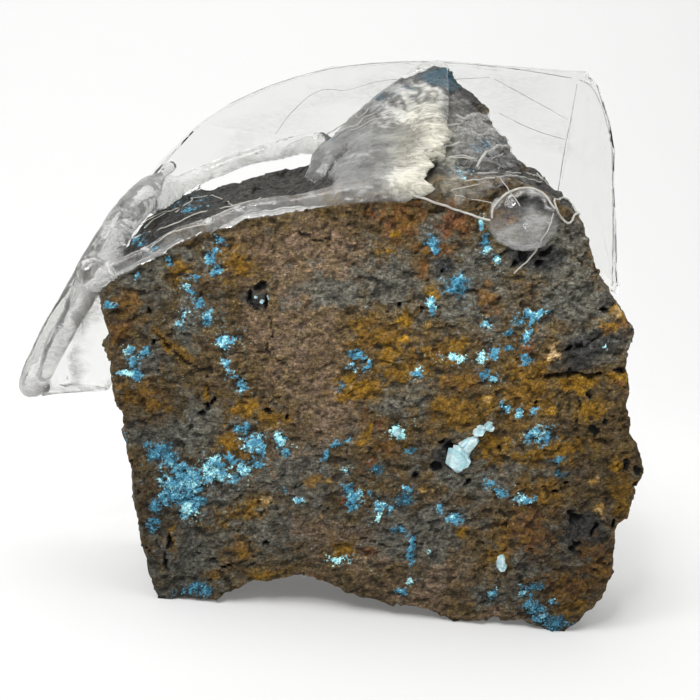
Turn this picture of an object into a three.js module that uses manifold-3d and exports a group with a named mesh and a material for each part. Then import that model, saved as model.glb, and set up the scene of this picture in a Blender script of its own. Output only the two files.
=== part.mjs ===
// Shattuckite: blue copper silicate in and on a broken slab of dark, iron-stained rock. The slab stands
// on its lower edge. Hot-melt glue runs along its upper edge and still holds a torn piece of the clear
// plastic tray that it came in.
//
// Millimetres, +Z up, the mineral face towards -Y. The outlines are written in the face frame: X to the
// right and Z up as the face is looked at, Y into the stone. At the end the whole specimen leans over
// to stand on its two low corners.

import * as THREE from "three";
import { mergeVertices } from "three/addons/utils/BufferGeometryUtils.js";
import Module from "manifold-3d";

const wasm = await Module();
wasm.setup();

// Driving dimensions
const FACE_Y = -13; // plane of the mineral face
const BACK_Y = 11.2; // plane of the broken back
const LEAN_DEG = 4.9; // turn about Y that sets both low corners on the ground
const GROUND_Z = 1.85; // height, after the lean, at which the low corners are worn flat
const CENTRE_X = -4.755; // middle of the whole specimen after the lean
const CENTRE_Y = -0.79;
const GAP = 0.3; // clearance between pieces that touch
const ROUGHNESS = 0.15; // more clearance over rough rock
const EYE = { y: -190.3, z: 67.8 }; // where the glue was looked at from, when its strands were measured

// Outlines of the slab, each from its low or left end. Points are [x, z].
const FACE = {
  bottom: [
    [-24.5, 3.4], [-21.5, 3.7], [-17.5, 3.8], [-15.5, 4.8], [-12.1, 6.1], [-9, 6.3], [-6, 7.1],
    [-3.5, 6.2], [-0.3, 4.7], [2.5, 3.7], [4.6, 3.2], [8.6, 2.8], [10.8, 1.8], [12.8, 0.7],
    [14.5, 0.6], [16.5, 1.1], [19.7, 0.9], [22, 1], [24.2, 0.2], [25.6, -0.7], [27.2, -1], [28.8, 0.2],
    [30.2, 1.2],
  ],
  right: [
    [30.2, 1.2], [33.4, 5.2], [33.9, 8], [34.2, 11], [34.4, 13.2], [35.6, 14.6], [36.1, 16.6],
    [36.9, 19.4], [37.4, 21], [37.3, 22.4], [36.6, 24.5], [35.1, 25.2], [35.1, 26.5], [35.7, 27.5],
    [35, 28.9], [34.6, 30.2], [35.4, 31.2], [35.5, 32.8], [34.6, 34], [34.4, 36.2], [35.4, 37.8],
    [35.5, 39.2], [34.4, 41], [33.2, 42.6], [31.9, 44.7], [30.7, 46.7], [29.6, 48.9], [29, 51.1],
    [28.2, 52.9], [27.2, 53.9],
  ],
  top: [
    [-30.9, 44.1], [-29.6, 45.3], [-27.9, 46.4], [-25.4, 47.4], [-22.8, 48.8], [-21.2, 50.2],
    [-16.8, 51.5], [-15.6, 51.4], [-12.9, 53], [-10.7, 53.4], [-7.4, 53.8], [-4.7, 54.3], [-1.8, 54.7],
    [2.7, 55.7], [7.1, 55.6], [10, 57], [13, 57.6], [17.2, 57.8], [21.5, 57.2], [24.6, 56],
    [27.2, 53.9],
  ],
  left: [
    [-24.5, 3.4], [-25.9, 6.5], [-26.6, 12], [-27.6, 19.5], [-28.4, 25.5], [-29, 29], [-30, 31.4],
    [-30.3, 33.3], [-30.1, 38.2], [-30.7, 41.3], [-30.9, 44.1],
  ],
};
const BACK = {
  bottom: [
    [-23.5, 3.8], [-20, 3.6], [-16.5, 4.1], [-12, 5.6], [-6, 6.4], [0, 5], [5, 3.6], [9, 2.6],
    [12.5, 1], [16, 1.1], [20, 1.3], [24, 0.2], [27, -0.7], [28.8, 1.6],
  ],
  right: [
    [28.8, 1.6], [31.5, 6], [32.5, 12], [33.8, 17], [35, 22], [33.5, 27], [33.6, 32], [33.2, 38],
    [33, 42], [31.8, 46.5], [30.6, 50], [29.9, 52],
  ],
  top: [
    [-33, 44.5], [-30.8, 48], [-28.6, 51], [-23.7, 54.3], [-20.5, 54.5], [-18.3, 54.9], [-14, 56.7],
    [-10.5, 57.2], [-7.6, 57.4], [-6, 58.6], [-4.8, 60.2], [-0.7, 63.8], [3.4, 66.8], [6.6, 67.9],
    [9, 69.7], [12, 71], [14.6, 71.6], [15.2, 69.8], [17.3, 67.9], [19, 65.7], [21, 61.8],
    [23.9, 58.4], [27.5, 54.8], [29.9, 52],
  ],
  left: [
    [-23.5, 3.8], [-25.5, 8], [-27.5, 15], [-29.5, 22], [-31, 30], [-31.8, 37], [-33, 44.5],
  ],
};

// Ledges and hollows of the mineral face: centre x and z, half width, half height, turn in degrees, and
// how far the middle stands out, negative for a hollow.
const FACE_FORMS = [
  [30.8, 37.2, 4.6, 2.6, 18, 1.3], // dark block at the right edge
  [30.5, 32.6, 5.2, 1.5, 4, -0.9], // slot under it
  [30.5, 28.6, 5.5, 3.2, 0, 0.9], // porous ledge
  [33.6, 21.6, 3.2, 2.8, 0, 0.9], // lump that carries the right corner
  [30.2, 14.2, 2.4, 2.6, 0, -1.1], // pitted hollow
  [12.6, 22.3, 2.2, 1.6, 25, -1.2], // hollow beside the pale crystals
  [-11.3, 42.6, 1.2, 1.2, 0, -0.6], // crystal-lined pit
  [-23.5, 19.5, 5.5, 3, -35, 0.6], // large blue crust
  [-15.5, 21.5, 3, 2, 20, 0.5], // its smaller neighbour
  [25.6, 2.6, 3.4, 1.4, -28, 0.5], // crust on the lower corner
  [-4, 9.5, 8, 2.6, 6, -0.7], // scoop over the arched lower edge
  [21, 49, 6, 4, 0, 0.5], // shoulder under the glue drop
  [-8, 37, 14, 9, 10, 0.5], // broad swell of the upper face
];

// Pale crystals standing on the face: x, z, width, height, turn in degrees.
const CRYSTALS = [
  [13.9, 22.2, 2.6, 2.8, 8],
  [15.4, 24.7, 2, 1.5, 35],
  [16.6, 26.5, 1.2, 1, 20],
  [17.8, 27, 1.1, 0.9, 30],
  [19.9, 9.4, 1.5, 1.6, 40],
  [5.7, 26.3, 1.2, 1.1, 0],
];

// Hollows and swellings of the broken back, in the same form.
const BACK_FORMS = [
  [-17, 34, 15, 13, 25, -2.6], // wide scoop at the left
  [13, 23, 17, 12, -20, 1.6], // swelling below the middle
  [18, 60, 12, 8, 30, -1.8], // chip under the peak
  [-14, 10, 12, 7, 0, -2], // broken heel
  [31, 8, 7, 8, 0, -2.4], // broken toe
];

// The tray: a torn panel of thin clear plastic behind the slab, with a wall that still stands round
// most of its edge.
const SHEET = 0.6; // wall thickness
const PANEL_Y = 13.6; // plane of the panel
const LIP = 0.9; // height of the edge where the wall is gone
// The panel's edge, [x, z], from the low left corner round by the top. Where the wall stands, [x, y, z]
// of its free edge follows.
const TRAY_EDGE = [
  [[-39.6, 26.4], [-40.9, -3, 28.4]],
  [[-40.2, 31], [-41.5, -3.4, 31.6]],
  [[-38.8, 34.9], [-40.1, -3.4, 35.2]],
  [[-37, 40.2], [-37.7, -3.4, 39.4]],
  [[-35.7, 44], [-35.7, -3.4, 43.3]],
  [[-33.5, 48.5], [-33.3, -3.2, 47.3]],
  [[-30.6, 53.2], [-30.9, -2, 51.3]],
  [[-27.6, 57.8], [-28.7, 1.6, 55]],
  [[-24, 61.6], [-25.2, 8, 59.4]],
  [[-20.8, 64.4]],
  [[-17.5, 66.5]],
  [[-11.2, 69.3]],
  [[-2.8, 71.9]],
  [[7, 72.8]],
  [[13.9, 72.7]],
  [[23.7, 71.8]],
  [[29.5, 71.4]],
  [[32.7, 71.2]],
  [[31.8, 69], [33.4, 5.6, 69.2]],
  [[31.2, 65], [34.2, 0, 64.7]],
  [[30.6, 60.5], [34.3, -3.4, 60.9]],
  [[29.9, 56], [34.2, -3.4, 56.4]],
  [[30.4, 52], [34.7, -3, 51.6]],
  [[32.2, 48], [35.6, -0.6, 47]],
  [[34.2, 44], [36.5, 3, 43]],
  [[35.2, 41.5], [36.8, 6, 40.6]],
  [[30, 43.5]],
  [[18, 46.5]],
  [[7, 49.5]],
  [[0, 54]],
  [[-5.4, 60]],
  [[-9.4, 60.4]],
  [[-15.8, 58.6]],
  [[-21, 56.6]],
  [[-25.4, 54.6]],
  [[-29, 51.6]],
  [[-30.8, 46]],
  [[-31.2, 38]],
  [[-32, 30]],
  [[-34.7, 26]],
];

// Glue strands: points [x, z] as they look in the plane of the face, depth y and radius.
const STRANDS = {
  rim: [
    [[-39.2, 31.2], -4.8, 1.5], [[-39.2, 33.2], -4.9, 1.2], [[-38.3, 35.2], -4.9, 1],
    [[-37.2, 37.5], -4.9, 1], [[-35.6, 40.2], -4.9, 1.05], [[-34, 42.8], -5, 1.1],
    [[-32.6, 45.2], -5, 1.15], [[-31.3, 47.6], -4.9, 1.2], [[-29.9, 49.8], -4.4, 1.2],
    [[-28.7, 51.8], -3.6, 1.1],
  ],
  tongue: [
    [[-29.2, 51], -3.6, 1], [[-27.9, 53.6], -2.8, 1.2], [[-26.5, 55.3], 0.2, 1.3],
    [[-25, 56.9], 3.6, 1.1], [[-23.5, 58.4], 6.4, 0.8], [[-21.6, 59.5], 8.2, 0.6],
  ],
  bridge: [
    [[-28.8, 51.6], -3.2, 1], [[-26.7, 53.8], 1, 0.85], [[-24.5, 55.6], 5, 0.75],
    [[-21.3, 56.9], 9.4, 0.7], [[-16.9, 58.7], 11.5, 0.75], [[-13.8, 59.9], 11.6, 0.7],
    [[-11, 60.7], 11.6, 0.7], [[-8.2, 61.4], 10.8, 0.75], [[-5.7, 62], 8.4, 0.9],
    [[-3.2, 62.2], 5, 1.4],
  ],
  lip: [
    [[9.4, 56.2], -12.8, 1], [[6.4, 56.3], -13, 1.4], [[2, 56.2], -13.1, 1.4],
    [[-1.8, 55.7], -13.1, 1.2], [[-4.7, 55.2], -13.1, 1], [[-7.4, 54.8], -13.1, 0.9],
    [[-12.3, 54.1], -13.1, 0.8], [[-16.7, 52.4], -13.1, 0.7], [[-21.2, 50.9], -13.1, 0.7],
    [[-25.3, 48.6], -13.1, 0.7], [[-27.8, 47.4], -13.1, 0.7], [[-30, 46.2], -13, 0.75],
    [[-31.3, 45.6], -12, 0.85], [[-31.9, 46], -8.6, 1], [[-31.8, 46.5], -5, 1],
  ],
};
// The glue that covers the upper slope, from the face's edge back to the skyline: depth y, left and
// right ends of the cover there, and its thickness.
const COVER_RISE = 0.8;
const COVER = [
  [-13.7, -0.5, 7.5, 0.5],
  [-12.7, -3.4, 9.8, 1.5],
  [-10, -2.2, 11.2, 1.8],
  [-6, -3.8, 12.2, 1.7],
  [-1, -6.2, 12.8, 1.7],
  [3, -5, 13.2, 1.9],
  [7, -1.6, 13.5, 1.7],
  [10, 3.4, 13.6, 1.5],
  [11.8, 7, 12.8, 0.8],
];
const DROP = { x: 21.3, z: 52.7, width: 4.2, height: 3.7, depth: 2.1 };

const radians = THREE.MathUtils.degToRad;

// A repeatable number from -1 to 1 for each lattice point.
function lattice(i, j, k, seed) {
  let h = Math.imul(i, 374761393) ^ Math.imul(j, 668265263);
  h ^= Math.imul(k, 2147483647) ^ Math.imul(seed, 1274126177);
  h = Math.imul(h ^ (h >>> 13), 1103515245);
  h = Math.imul(h ^ (h >>> 16), 2654435769);
  return ((h >>> 8) / 8388608) - 1;
}

// Smooth noise from -1 to 1 with features of the given size.
function noise(p, size, seed) {
  const cell = [p.x, p.y, p.z].map((c) => Math.floor(c / size));
  const part = [p.x, p.y, p.z].map((c, n) => THREE.MathUtils.smoothstep(c / size - cell[n], 0, 1));
  let sum = 0;
  for (let corner = 0; corner < 8; corner++) {
    const step = [corner & 1, (corner >> 1) & 1, corner >> 2];
    const weight = step.reduce((w, s, n) => w * (s ? part[n] : 1 - part[n]), 1);
    sum += weight * lattice(cell[0] + step[0], cell[1] + step[1], cell[2] + step[2], seed);
  }
  return sum;
}

// Flat chips, as a hammer leaves them: each cell of space has its own tilted plane.
function chips(p, size, seed) {
  const cell = [p.x, p.y, p.z].map((c) => Math.floor(c / size));
  let nearest = Infinity;
  let height = 0;
  for (let n = 0; n < 27; n++) {
    const step = [n % 3, Math.floor(n / 3) % 3, Math.floor(n / 9)];
    const c = cell.map((start, axis) => start + step[axis] - 1);
    const jitter = [0, 1, 2].map((axis) => 0.5 + 0.5 * lattice(...c, seed + axis));
    const centre = new THREE.Vector3(...c).add(new THREE.Vector3(...jitter));
    const offset = p.clone().divideScalar(size).sub(centre);
    if (offset.lengthSq() < nearest) {
      nearest = offset.lengthSq();
      const tilt = new THREE.Vector3(...[3, 4, 5].map((axis) => lattice(...c, seed + axis)));
      height = 0.5 * lattice(...c, seed + 6) + 0.8 * offset.dot(tilt);
    }
  }
  return THREE.MathUtils.clamp(height, -1, 1);
}

// The point at a share of a polyline's length.
function along(points, share) {
  const lengths = points.slice(1).map((p, n) => Math.hypot(p[0] - points[n][0], p[1] - points[n][1]));
  let rest = share * lengths.reduce((a, b) => a + b, 0);
  for (let n = 0; n < lengths.length; n++) {
    if (rest <= lengths[n] || n === lengths.length - 1) {
      const t = Math.min(1, rest / lengths[n]);
      return [0, 1].map((axis) => THREE.MathUtils.lerp(points[n][axis], points[n + 1][axis], t));
    }
    rest -= lengths[n];
  }
}

// A point inside an outline of four sides, from its shares across and up.
function inside(outline, u, v) {
  const [bottom, top] = [along(outline.bottom, u), along(outline.top, u)];
  const [left, right] = [along(outline.left, v), along(outline.right, v)];
  const corner = (side, end) => along(outline[side], end);
  return [0, 1].map((axis) => {
    const edges = (1 - v) * bottom[axis] + v * top[axis] + (1 - u) * left[axis] + u * right[axis];
    const low = (1 - u) * corner("bottom", 0)[axis] + u * corner("bottom", 1)[axis];
    const high = (1 - u) * corner("top", 0)[axis] + u * corner("top", 1)[axis];
    return edges - (1 - v) * low - v * high;
  });
}

// How far a broken surface stands out of its plane at x, z.
function formHeight(forms, x, z) {
  let out = 0;
  for (const [cx, cz, halfWidth, halfHeight, turn, height] of forms) {
    const [c, s] = [Math.cos(radians(turn)), Math.sin(radians(turn))];
    const across = ((x - cx) * c + (z - cz) * s) / halfWidth;
    const up = ((z - cz) * c - (x - cx) * s) / halfHeight;
    out += height * (1 - THREE.MathUtils.smoothstep(Math.hypot(across, up), 0.35, 1.15));
  }
  return out;
}

// Height of a line of [x, z] points at x.
function heightAt(points, x) {
  const next = THREE.MathUtils.clamp(points.findIndex(([px]) => px >= x), 1, points.length - 1);
  const [a, b] = [points[next - 1], points[next]];
  return THREE.MathUtils.mapLinear(x, a[0], b[0], a[1], b[1]);
}

// The place at depth y that looks, from where the strands were measured, like [x, z] in the plane of
// the face.
function asSeen([x, z], y) {
  const scale = (y - EYE.y) / (FACE_Y - EYE.y);
  return new THREE.Vector3(x * scale, y, EYE.z + (z - EYE.z) * scale);
}

function geometryOf(solid) {
  const mesh = solid.getMesh();
  const geometry = new THREE.BufferGeometry();
  geometry.setAttribute("position", new THREE.BufferAttribute(mesh.vertProperties, mesh.numProp));
  geometry.setIndex(new THREE.BufferAttribute(mesh.triVerts, 1));
  return geometry;
}

function solidOf(geometry) {
  const bare = geometry.clone();
  for (const name of Object.keys(bare.attributes)) {
    if (name !== "position") bare.deleteAttribute(name);
  }
  const merged = mergeVertices(bare, 1e-4);
  return new wasm.Manifold(
    new wasm.Mesh({
      numProp: 3,
      vertProperties: merged.attributes.position.array,
      triVerts: new Uint32Array(merged.index.array),
    }),
  );
}

// The slab: a box's surface carried onto the two outlines, roughened along its own normals.
// swell makes the same shape a little larger, to cut its neighbours clear of it.
function slabGeometry(swell = 0) {
  const [across, deep, up] = [32, 7, 28];
  const box = new THREE.BoxGeometry(1, 1, 1, across, deep, up);
  box.deleteAttribute("normal");
  box.deleteAttribute("uv");
  const geometry = mergeVertices(box, 1e-6);
  const position = geometry.attributes.position;
  const shares = [];
  for (let n = 0; n < position.count; n++) {
    const [u, w, v] = [position.getX(n) + 0.5, position.getY(n) + 0.5, position.getZ(n) + 0.5];
    const [front, back] = [inside(FACE, u, v), inside(BACK, u, v)];
    const x = THREE.MathUtils.lerp(front[0], back[0], w);
    const z = THREE.MathUtils.lerp(front[1], back[1], w);
    const faceY = FACE_Y - formHeight(FACE_FORMS, ...front);
    const backY = BACK_Y + formHeight(BACK_FORMS, ...back);
    shares.push([u, w, v]);
    position.setXYZ(n, x, THREE.MathUtils.lerp(faceY, backY, w), z);
  }
  geometry.computeVertexNormals();
  const normal = geometry.attributes.normal;
  const point = new THREE.Vector3();
  const out = new THREE.Vector3();
  for (let n = 0; n < position.count; n++) {
    point.fromBufferAttribute(position, n);
    out.fromBufferAttribute(normal, n);
    const [u, w, v] = shares[n];
    const onFace = w === 0;
    const fromRim = Math.min(u, 1 - u, v, 1 - v);
    const calm = onFace ? THREE.MathUtils.smoothstep(fromRim, 0, 0.04) : 1;
    const chipDepth = onFace || v === 0 ? 0.3 : 1.3;
    const chipped = chipDepth * chips(point, onFace ? 5 : 8, 11);
    const rough = 0.35 * noise(point, 3.1, 23);
    const amount = calm * (chipped + rough) + 0.18 * noise(point, 1.6, 31);
    point.addScaledVector(out, amount + swell);
    position.setXYZ(n, point.x, point.y, point.z);
  }
  return geometry;
}

// A pale crystal: a short six-sided block with a bevelled end, half sunk in the face.
function crystalGeometry([x, z, width, height, turn]) {
  const profile = [[0, -0.9], [0.5, -0.9], [0.52, 0.25], [0.3, 0.55], [0, 0.55]];
  const geometry = new THREE.LatheGeometry(profile.map(([r, h]) => new THREE.Vector2(r, h)), 6);
  geometry.rotateX(Math.PI);
  geometry.scale(width, 1.5, height);
  geometry.rotateY(radians(turn));
  geometry.translate(x, FACE_Y - formHeight(FACE_FORMS, x, z), z);
  return geometry;
}

// The flat that the low corners stand on, as a block to cut away.
function groundGeometry() {
  const block = new THREE.BoxGeometry(120, 80, 20);
  block.translate(0, 0, GROUND_Z - 10);
  block.rotateY(radians(LEAN_DEG));
  return block;
}

function stoneSolid() {
  let stone = solidOf(slabGeometry());
  for (const crystal of CRYSTALS) stone = stone.add(solidOf(crystalGeometry(crystal)));
  return stone.subtract(solidOf(groundGeometry()));
}

// A closed tube whose radius changes along it.
function strandGeometry(points, sides = 8) {
  const knots = points.map(([seen, y]) => asSeen(seen, y));
  const curve = new THREE.CatmullRomCurve3(knots, false, "centripetal");
  const steps = (points.length - 1) * 2;
  const frames = curve.computeFrenetFrames(steps);
  const rings = [];
  const radiusAt = (share) => {
    const place = share * (points.length - 1);
    const n = Math.min(points.length - 2, Math.floor(place));
    return THREE.MathUtils.lerp(points[n][2], points[n + 1][2], place - n);
  };
  for (let n = 0; n <= steps; n++) {
    const centre = curve.getPoint(n / steps);
    const radius = radiusAt(n / steps);
    const ring = [];
    for (let side = 0; side < sides; side++) {
      const angle = (2 * Math.PI * side) / sides;
      ring.push(
        centre.clone()
          .addScaledVector(frames.normals[n], Math.cos(angle) * radius)
          .addScaledVector(frames.binormals[n], Math.sin(angle) * radius),
      );
    }
    rings.push(ring);
  }
  return closedRings(rings, curve.getPoint(0), curve.getPoint(1));
}

// Two triangles for each side between each ring of points and the next.
function ringSides(ringCount, count) {
  const index = [];
  for (let r = 0; r < ringCount - 1; r++) {
    for (let side = 0; side < count; side++) {
      const next = (side + 1) % count;
      const [a, b] = [r * count + side, r * count + next];
      const [c, d] = [a + count, b + count];
      index.push(a, b, d, a, d, c);
    }
  }
  return index;
}

// Rings of points joined in turn, each end closed to its own middle point.
function closedRings(rings, start, end) {
  const vertices = [...rings.flat(), start, end];
  const count = rings[0].length;
  const index = ringSides(rings.length, count);
  const [first, last] = [vertices.length - 2, vertices.length - 1];
  const foot = (rings.length - 1) * count;
  for (let side = 0; side < count; side++) {
    const next = (side + 1) % count;
    index.push(first, next, side, last, foot + side, foot + next);
  }
  const geometry = new THREE.BufferGeometry().setFromPoints(vertices);
  geometry.setIndex(index);
  return geometry;
}

// The cover of glue on the slope between the face's upper edge and the skyline: a flat, lumpy section
// at each depth.
function coverGeometry() {
  const sides = 16;
  const rings = COVER.map(([y, left, right, thickness]) =>
    Array.from({ length: sides }, (_, side) => {
      const angle = (2 * Math.PI * side) / sides;
      const x = THREE.MathUtils.lerp(left, right, 0.5 - 0.5 * Math.cos(angle));
      const [low, high] = [heightAt(FACE.top, x), heightAt(BACK.top, x)];
      const slope = THREE.MathUtils.mapLinear(y, FACE_Y, BACK_Y, low, high);
      const lumpy = 1 + 0.3 * noise(new THREE.Vector3(x, y, 0), 4, 53);
      return new THREE.Vector3(x, y, slope + COVER_RISE + lumpy * thickness * Math.sin(angle));
    }),
  );
  const middle = (ring) => ring[0].clone().lerp(ring[sides / 2], 0.5);
  return closedRings(rings, middle(rings[0]), middle(rings.at(-1)));
}

// The tray's panel and wall as one shell: rings of points up the outside of the wall and down its
// inside, closed by the panel's two faces. spare thickens it all round.
function trayGeometry(spare = 0) {
  const steps = 3;
  const skin = SHEET + 2 * spare;
  const count = TRAY_EDGE.length;
  const fold = TRAY_EDGE.map(([[x, z]]) => new THREE.Vector2(x, z));
  const inward = fold.map((point, n) => {
    const along = fold[(n + 1) % count].clone().sub(fold[(n + count - 1) % count]).normalize();
    return new THREE.Vector2(along.y, -along.x);
  });
  const free = TRAY_EDGE.map(([[x, z], edge = [x, PANEL_Y - LIP, z]]) => edge.with(1, edge[1] - spare));
  const rings = [];
  for (let step = 0; step <= steps; step++) {
    const turn = (step / steps) * (Math.PI / 2);
    rings.push(fold.map((point, n) => {
      const place = point.clone().lerp(new THREE.Vector2(free[n][0], free[n][2]), Math.sin(turn));
      const y = PANEL_Y - (PANEL_Y - free[n][1]) * (1 - Math.cos(turn));
      const wide = new THREE.Vector2(free[n][0] - point.x, free[n][2] - point.y).length() * Math.cos(turn);
      const deep = (PANEL_Y - free[n][1]) * Math.sin(turn);
      const length = Math.hypot(wide, deep) || 1;
      const lean = step === 0 ? [1, 1] : [deep / length, wide / length];
      return { place, y, shift: [inward[n].clone().multiplyScalar(lean[0]), lean[1]] };
    }));
  }
  const outer = (ring) => ring.map(({ place, y, shift }) => {
    const out = place.clone().addScaledVector(shift[0], -spare);
    return new THREE.Vector3(out.x, y + spare * shift[1], out.y);
  });
  const inner = (ring, step) => ring.map(({ place, y, shift }) => {
    const into = place.clone().addScaledVector(shift[0], skin - spare);
    const underPanel = PANEL_Y - (skin - spare) - 0.05 * step;
    return new THREE.Vector3(into.x, Math.min(y - (skin - spare) * shift[1], underPanel), into.y);
  });
  const shell = [...rings.map(outer), ...rings.map(inner).reverse()];
  const index = ringSides(shell.length, count);
  const last = (shell.length - 1) * count;
  for (const [a, b, c] of THREE.ShapeUtils.triangulateShape(fold, [])) {
    index.push(a, b, c, last + a, last + c, last + b);
  }
  const geometry = new THREE.BufferGeometry().setFromPoints(shell.flat());
  geometry.setIndex(index.reverse());
  return geometry;
}

function glueSolid(keepOut) {
  const parts = [coverGeometry(), ...Object.values(STRANDS).map((points) => strandGeometry(points))];
  return parts.map(solidOf).reduce((sum, part) => sum.add(part)).subtract(keepOut);
}

function dropSolid(keepOut) {
  const dome = new THREE.SphereGeometry(1, 20, 12);
  dome.scale(DROP.width, DROP.depth, DROP.height);
  dome.translate(DROP.x, FACE_Y - formHeight(FACE_FORMS, DROP.x, DROP.z), DROP.z);
  return solidOf(dome).subtract(keepOut);
}

// The largest body of a mesh, without the crumbs that a cut leaves.
function largestBody(geometry) {
  const position = geometry.attributes.position;
  const index = geometry.index.array;
  const group = Array.from({ length: position.count }, (_, n) => n);
  const find = (n) => {
    while (group[n] !== n) {
      group[n] = group[group[n]];
      n = group[n];
    }
    return n;
  };
  for (let n = 0; n < index.length; n += 3) {
    group[find(index[n])] = find(index[n + 1]);
    group[find(index[n + 1])] = find(index[n + 2]);
  }
  const faces = new Map();
  for (let n = 0; n < index.length; n += 3) {
    const body = find(index[n]);
    faces.set(body, [...(faces.get(body) ?? []), index[n], index[n + 1], index[n + 2]]);
  }
  const most = [...faces.values()].reduce((best, list) => (list.length > best.length ? list : best));
  const single = new THREE.BufferGeometry();
  single.setAttribute("position", position);
  single.setIndex(most);
  return single;
}

const materials = {
  rock: new THREE.MeshStandardMaterial({ color: 0x4a4038, roughness: 0.85, metalness: 0 }),
  plastic: new THREE.MeshStandardMaterial({
    color: 0xf4f6f6, roughness: 0.08, metalness: 0, transparent: true, opacity: 0.2,
  }),
  glue: new THREE.MeshStandardMaterial({
    color: 0xdedbd2, roughness: 0.15, metalness: 0, transparent: true, opacity: 0.5,
  }),
};

const stoneRoom = solidOf(slabGeometry(GAP + ROUGHNESS));
const trayRoom = solidOf(trayGeometry(GAP));

function piece(name, solid, material) {
  const mesh = new THREE.Mesh(largestBody(geometryOf(solid)), material);
  mesh.name = name;
  return mesh;
}

const specimen = new THREE.Group();
specimen.rotation.y = -radians(LEAN_DEG);
specimen.position.set(-CENTRE_X, -CENTRE_Y, -GROUND_Z);
specimen.add(
  piece("stone", stoneSolid(), materials.rock),
  piece("plastic_tray", solidOf(trayGeometry()).subtract(stoneRoom), materials.plastic),
  piece("glue_main", glueSolid(stoneRoom.add(trayRoom)), materials.glue),
  piece("glue_drop", dropSolid(stoneRoom), materials.glue),
);

const root = new THREE.Group();
root.add(specimen);
export default root;
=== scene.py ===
"""Shattuckite: a broken slab of dark, iron-stained rock with blue crusts and pale crystals.

It stands on its lower edge. Set clear glue runs along its upper edge and still holds a torn piece of the
clear plastic tray that it came in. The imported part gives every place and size, and this file gives it
its looks.
"""

import math

import bmesh
import bpy
import numpy as np
from bpy.props import FloatProperty, FloatVectorProperty, PointerProperty
from mathutils import Matrix, Vector
from mathutils.bvhtree import BVHTree


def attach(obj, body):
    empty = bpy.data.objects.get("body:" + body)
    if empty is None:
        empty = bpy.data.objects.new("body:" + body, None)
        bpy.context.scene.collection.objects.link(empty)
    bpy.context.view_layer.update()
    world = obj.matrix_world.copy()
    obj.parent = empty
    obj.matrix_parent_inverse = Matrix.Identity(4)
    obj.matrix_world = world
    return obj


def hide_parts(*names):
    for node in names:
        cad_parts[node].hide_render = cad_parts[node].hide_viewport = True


bl_info = {
    "name": "Shattuckite specimen",
    "version": (1, 0, 0),
    "blender": (4, 5, 0),
    "location": "3D View > Sidebar > Shattuckite",
    "description": "Rock, crusts, crystals, glue and tray of a shattuckite specimen",
    "category": "Add Mesh",
}

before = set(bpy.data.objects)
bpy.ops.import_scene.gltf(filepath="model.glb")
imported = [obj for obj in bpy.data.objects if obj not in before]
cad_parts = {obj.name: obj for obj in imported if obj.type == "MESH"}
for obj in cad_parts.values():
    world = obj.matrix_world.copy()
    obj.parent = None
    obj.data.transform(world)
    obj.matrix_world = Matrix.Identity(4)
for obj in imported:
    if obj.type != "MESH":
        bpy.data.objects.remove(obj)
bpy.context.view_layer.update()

MM = 0.001  # one millimetre in metres

# The face frame: millimetres, X to the right and Z up as the mineral face is looked at, Y into the stone.
# The specimen leans over in its own plane to stand on its two low corners.
LEAN = math.radians(4.9)
SHIFT = (4.755, 0.79, -1.85)  # from the leaning face frame to the row frame
FACE_Y = -13.0  # plane of the mineral face
EYE = (0.0, -190.3, 67.8)  # where the specimen is looked at from
AIM = (0.0, -13.0, 36.5)  # what the camera points at, on the face
REACHES = range(165, 216)  # how far from the eye the specimen lies
LENS = 74.06  # for a sensor 36 mm wide

# The stage, in metres.
MIDDLE = (0.0, 0.0, 0.035)  # middle of the specimen
SWEEP_FRONT = -0.5
SWEEP_HALF_WIDTH = 0.9
SWEEP_TOP = 0.9
BEND_START = 0.14  # where the floor begins to curve up
BEND_RADIUS = 0.2
BACKDROP_FOOT = (0.0, 0.3, 0.05)

# Places below are "as seen": x and z where the line from the eye crosses the plane of the face.
# Patches are (x, z, half width, half height, turn in degrees), and a last value where a list says so.

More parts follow.
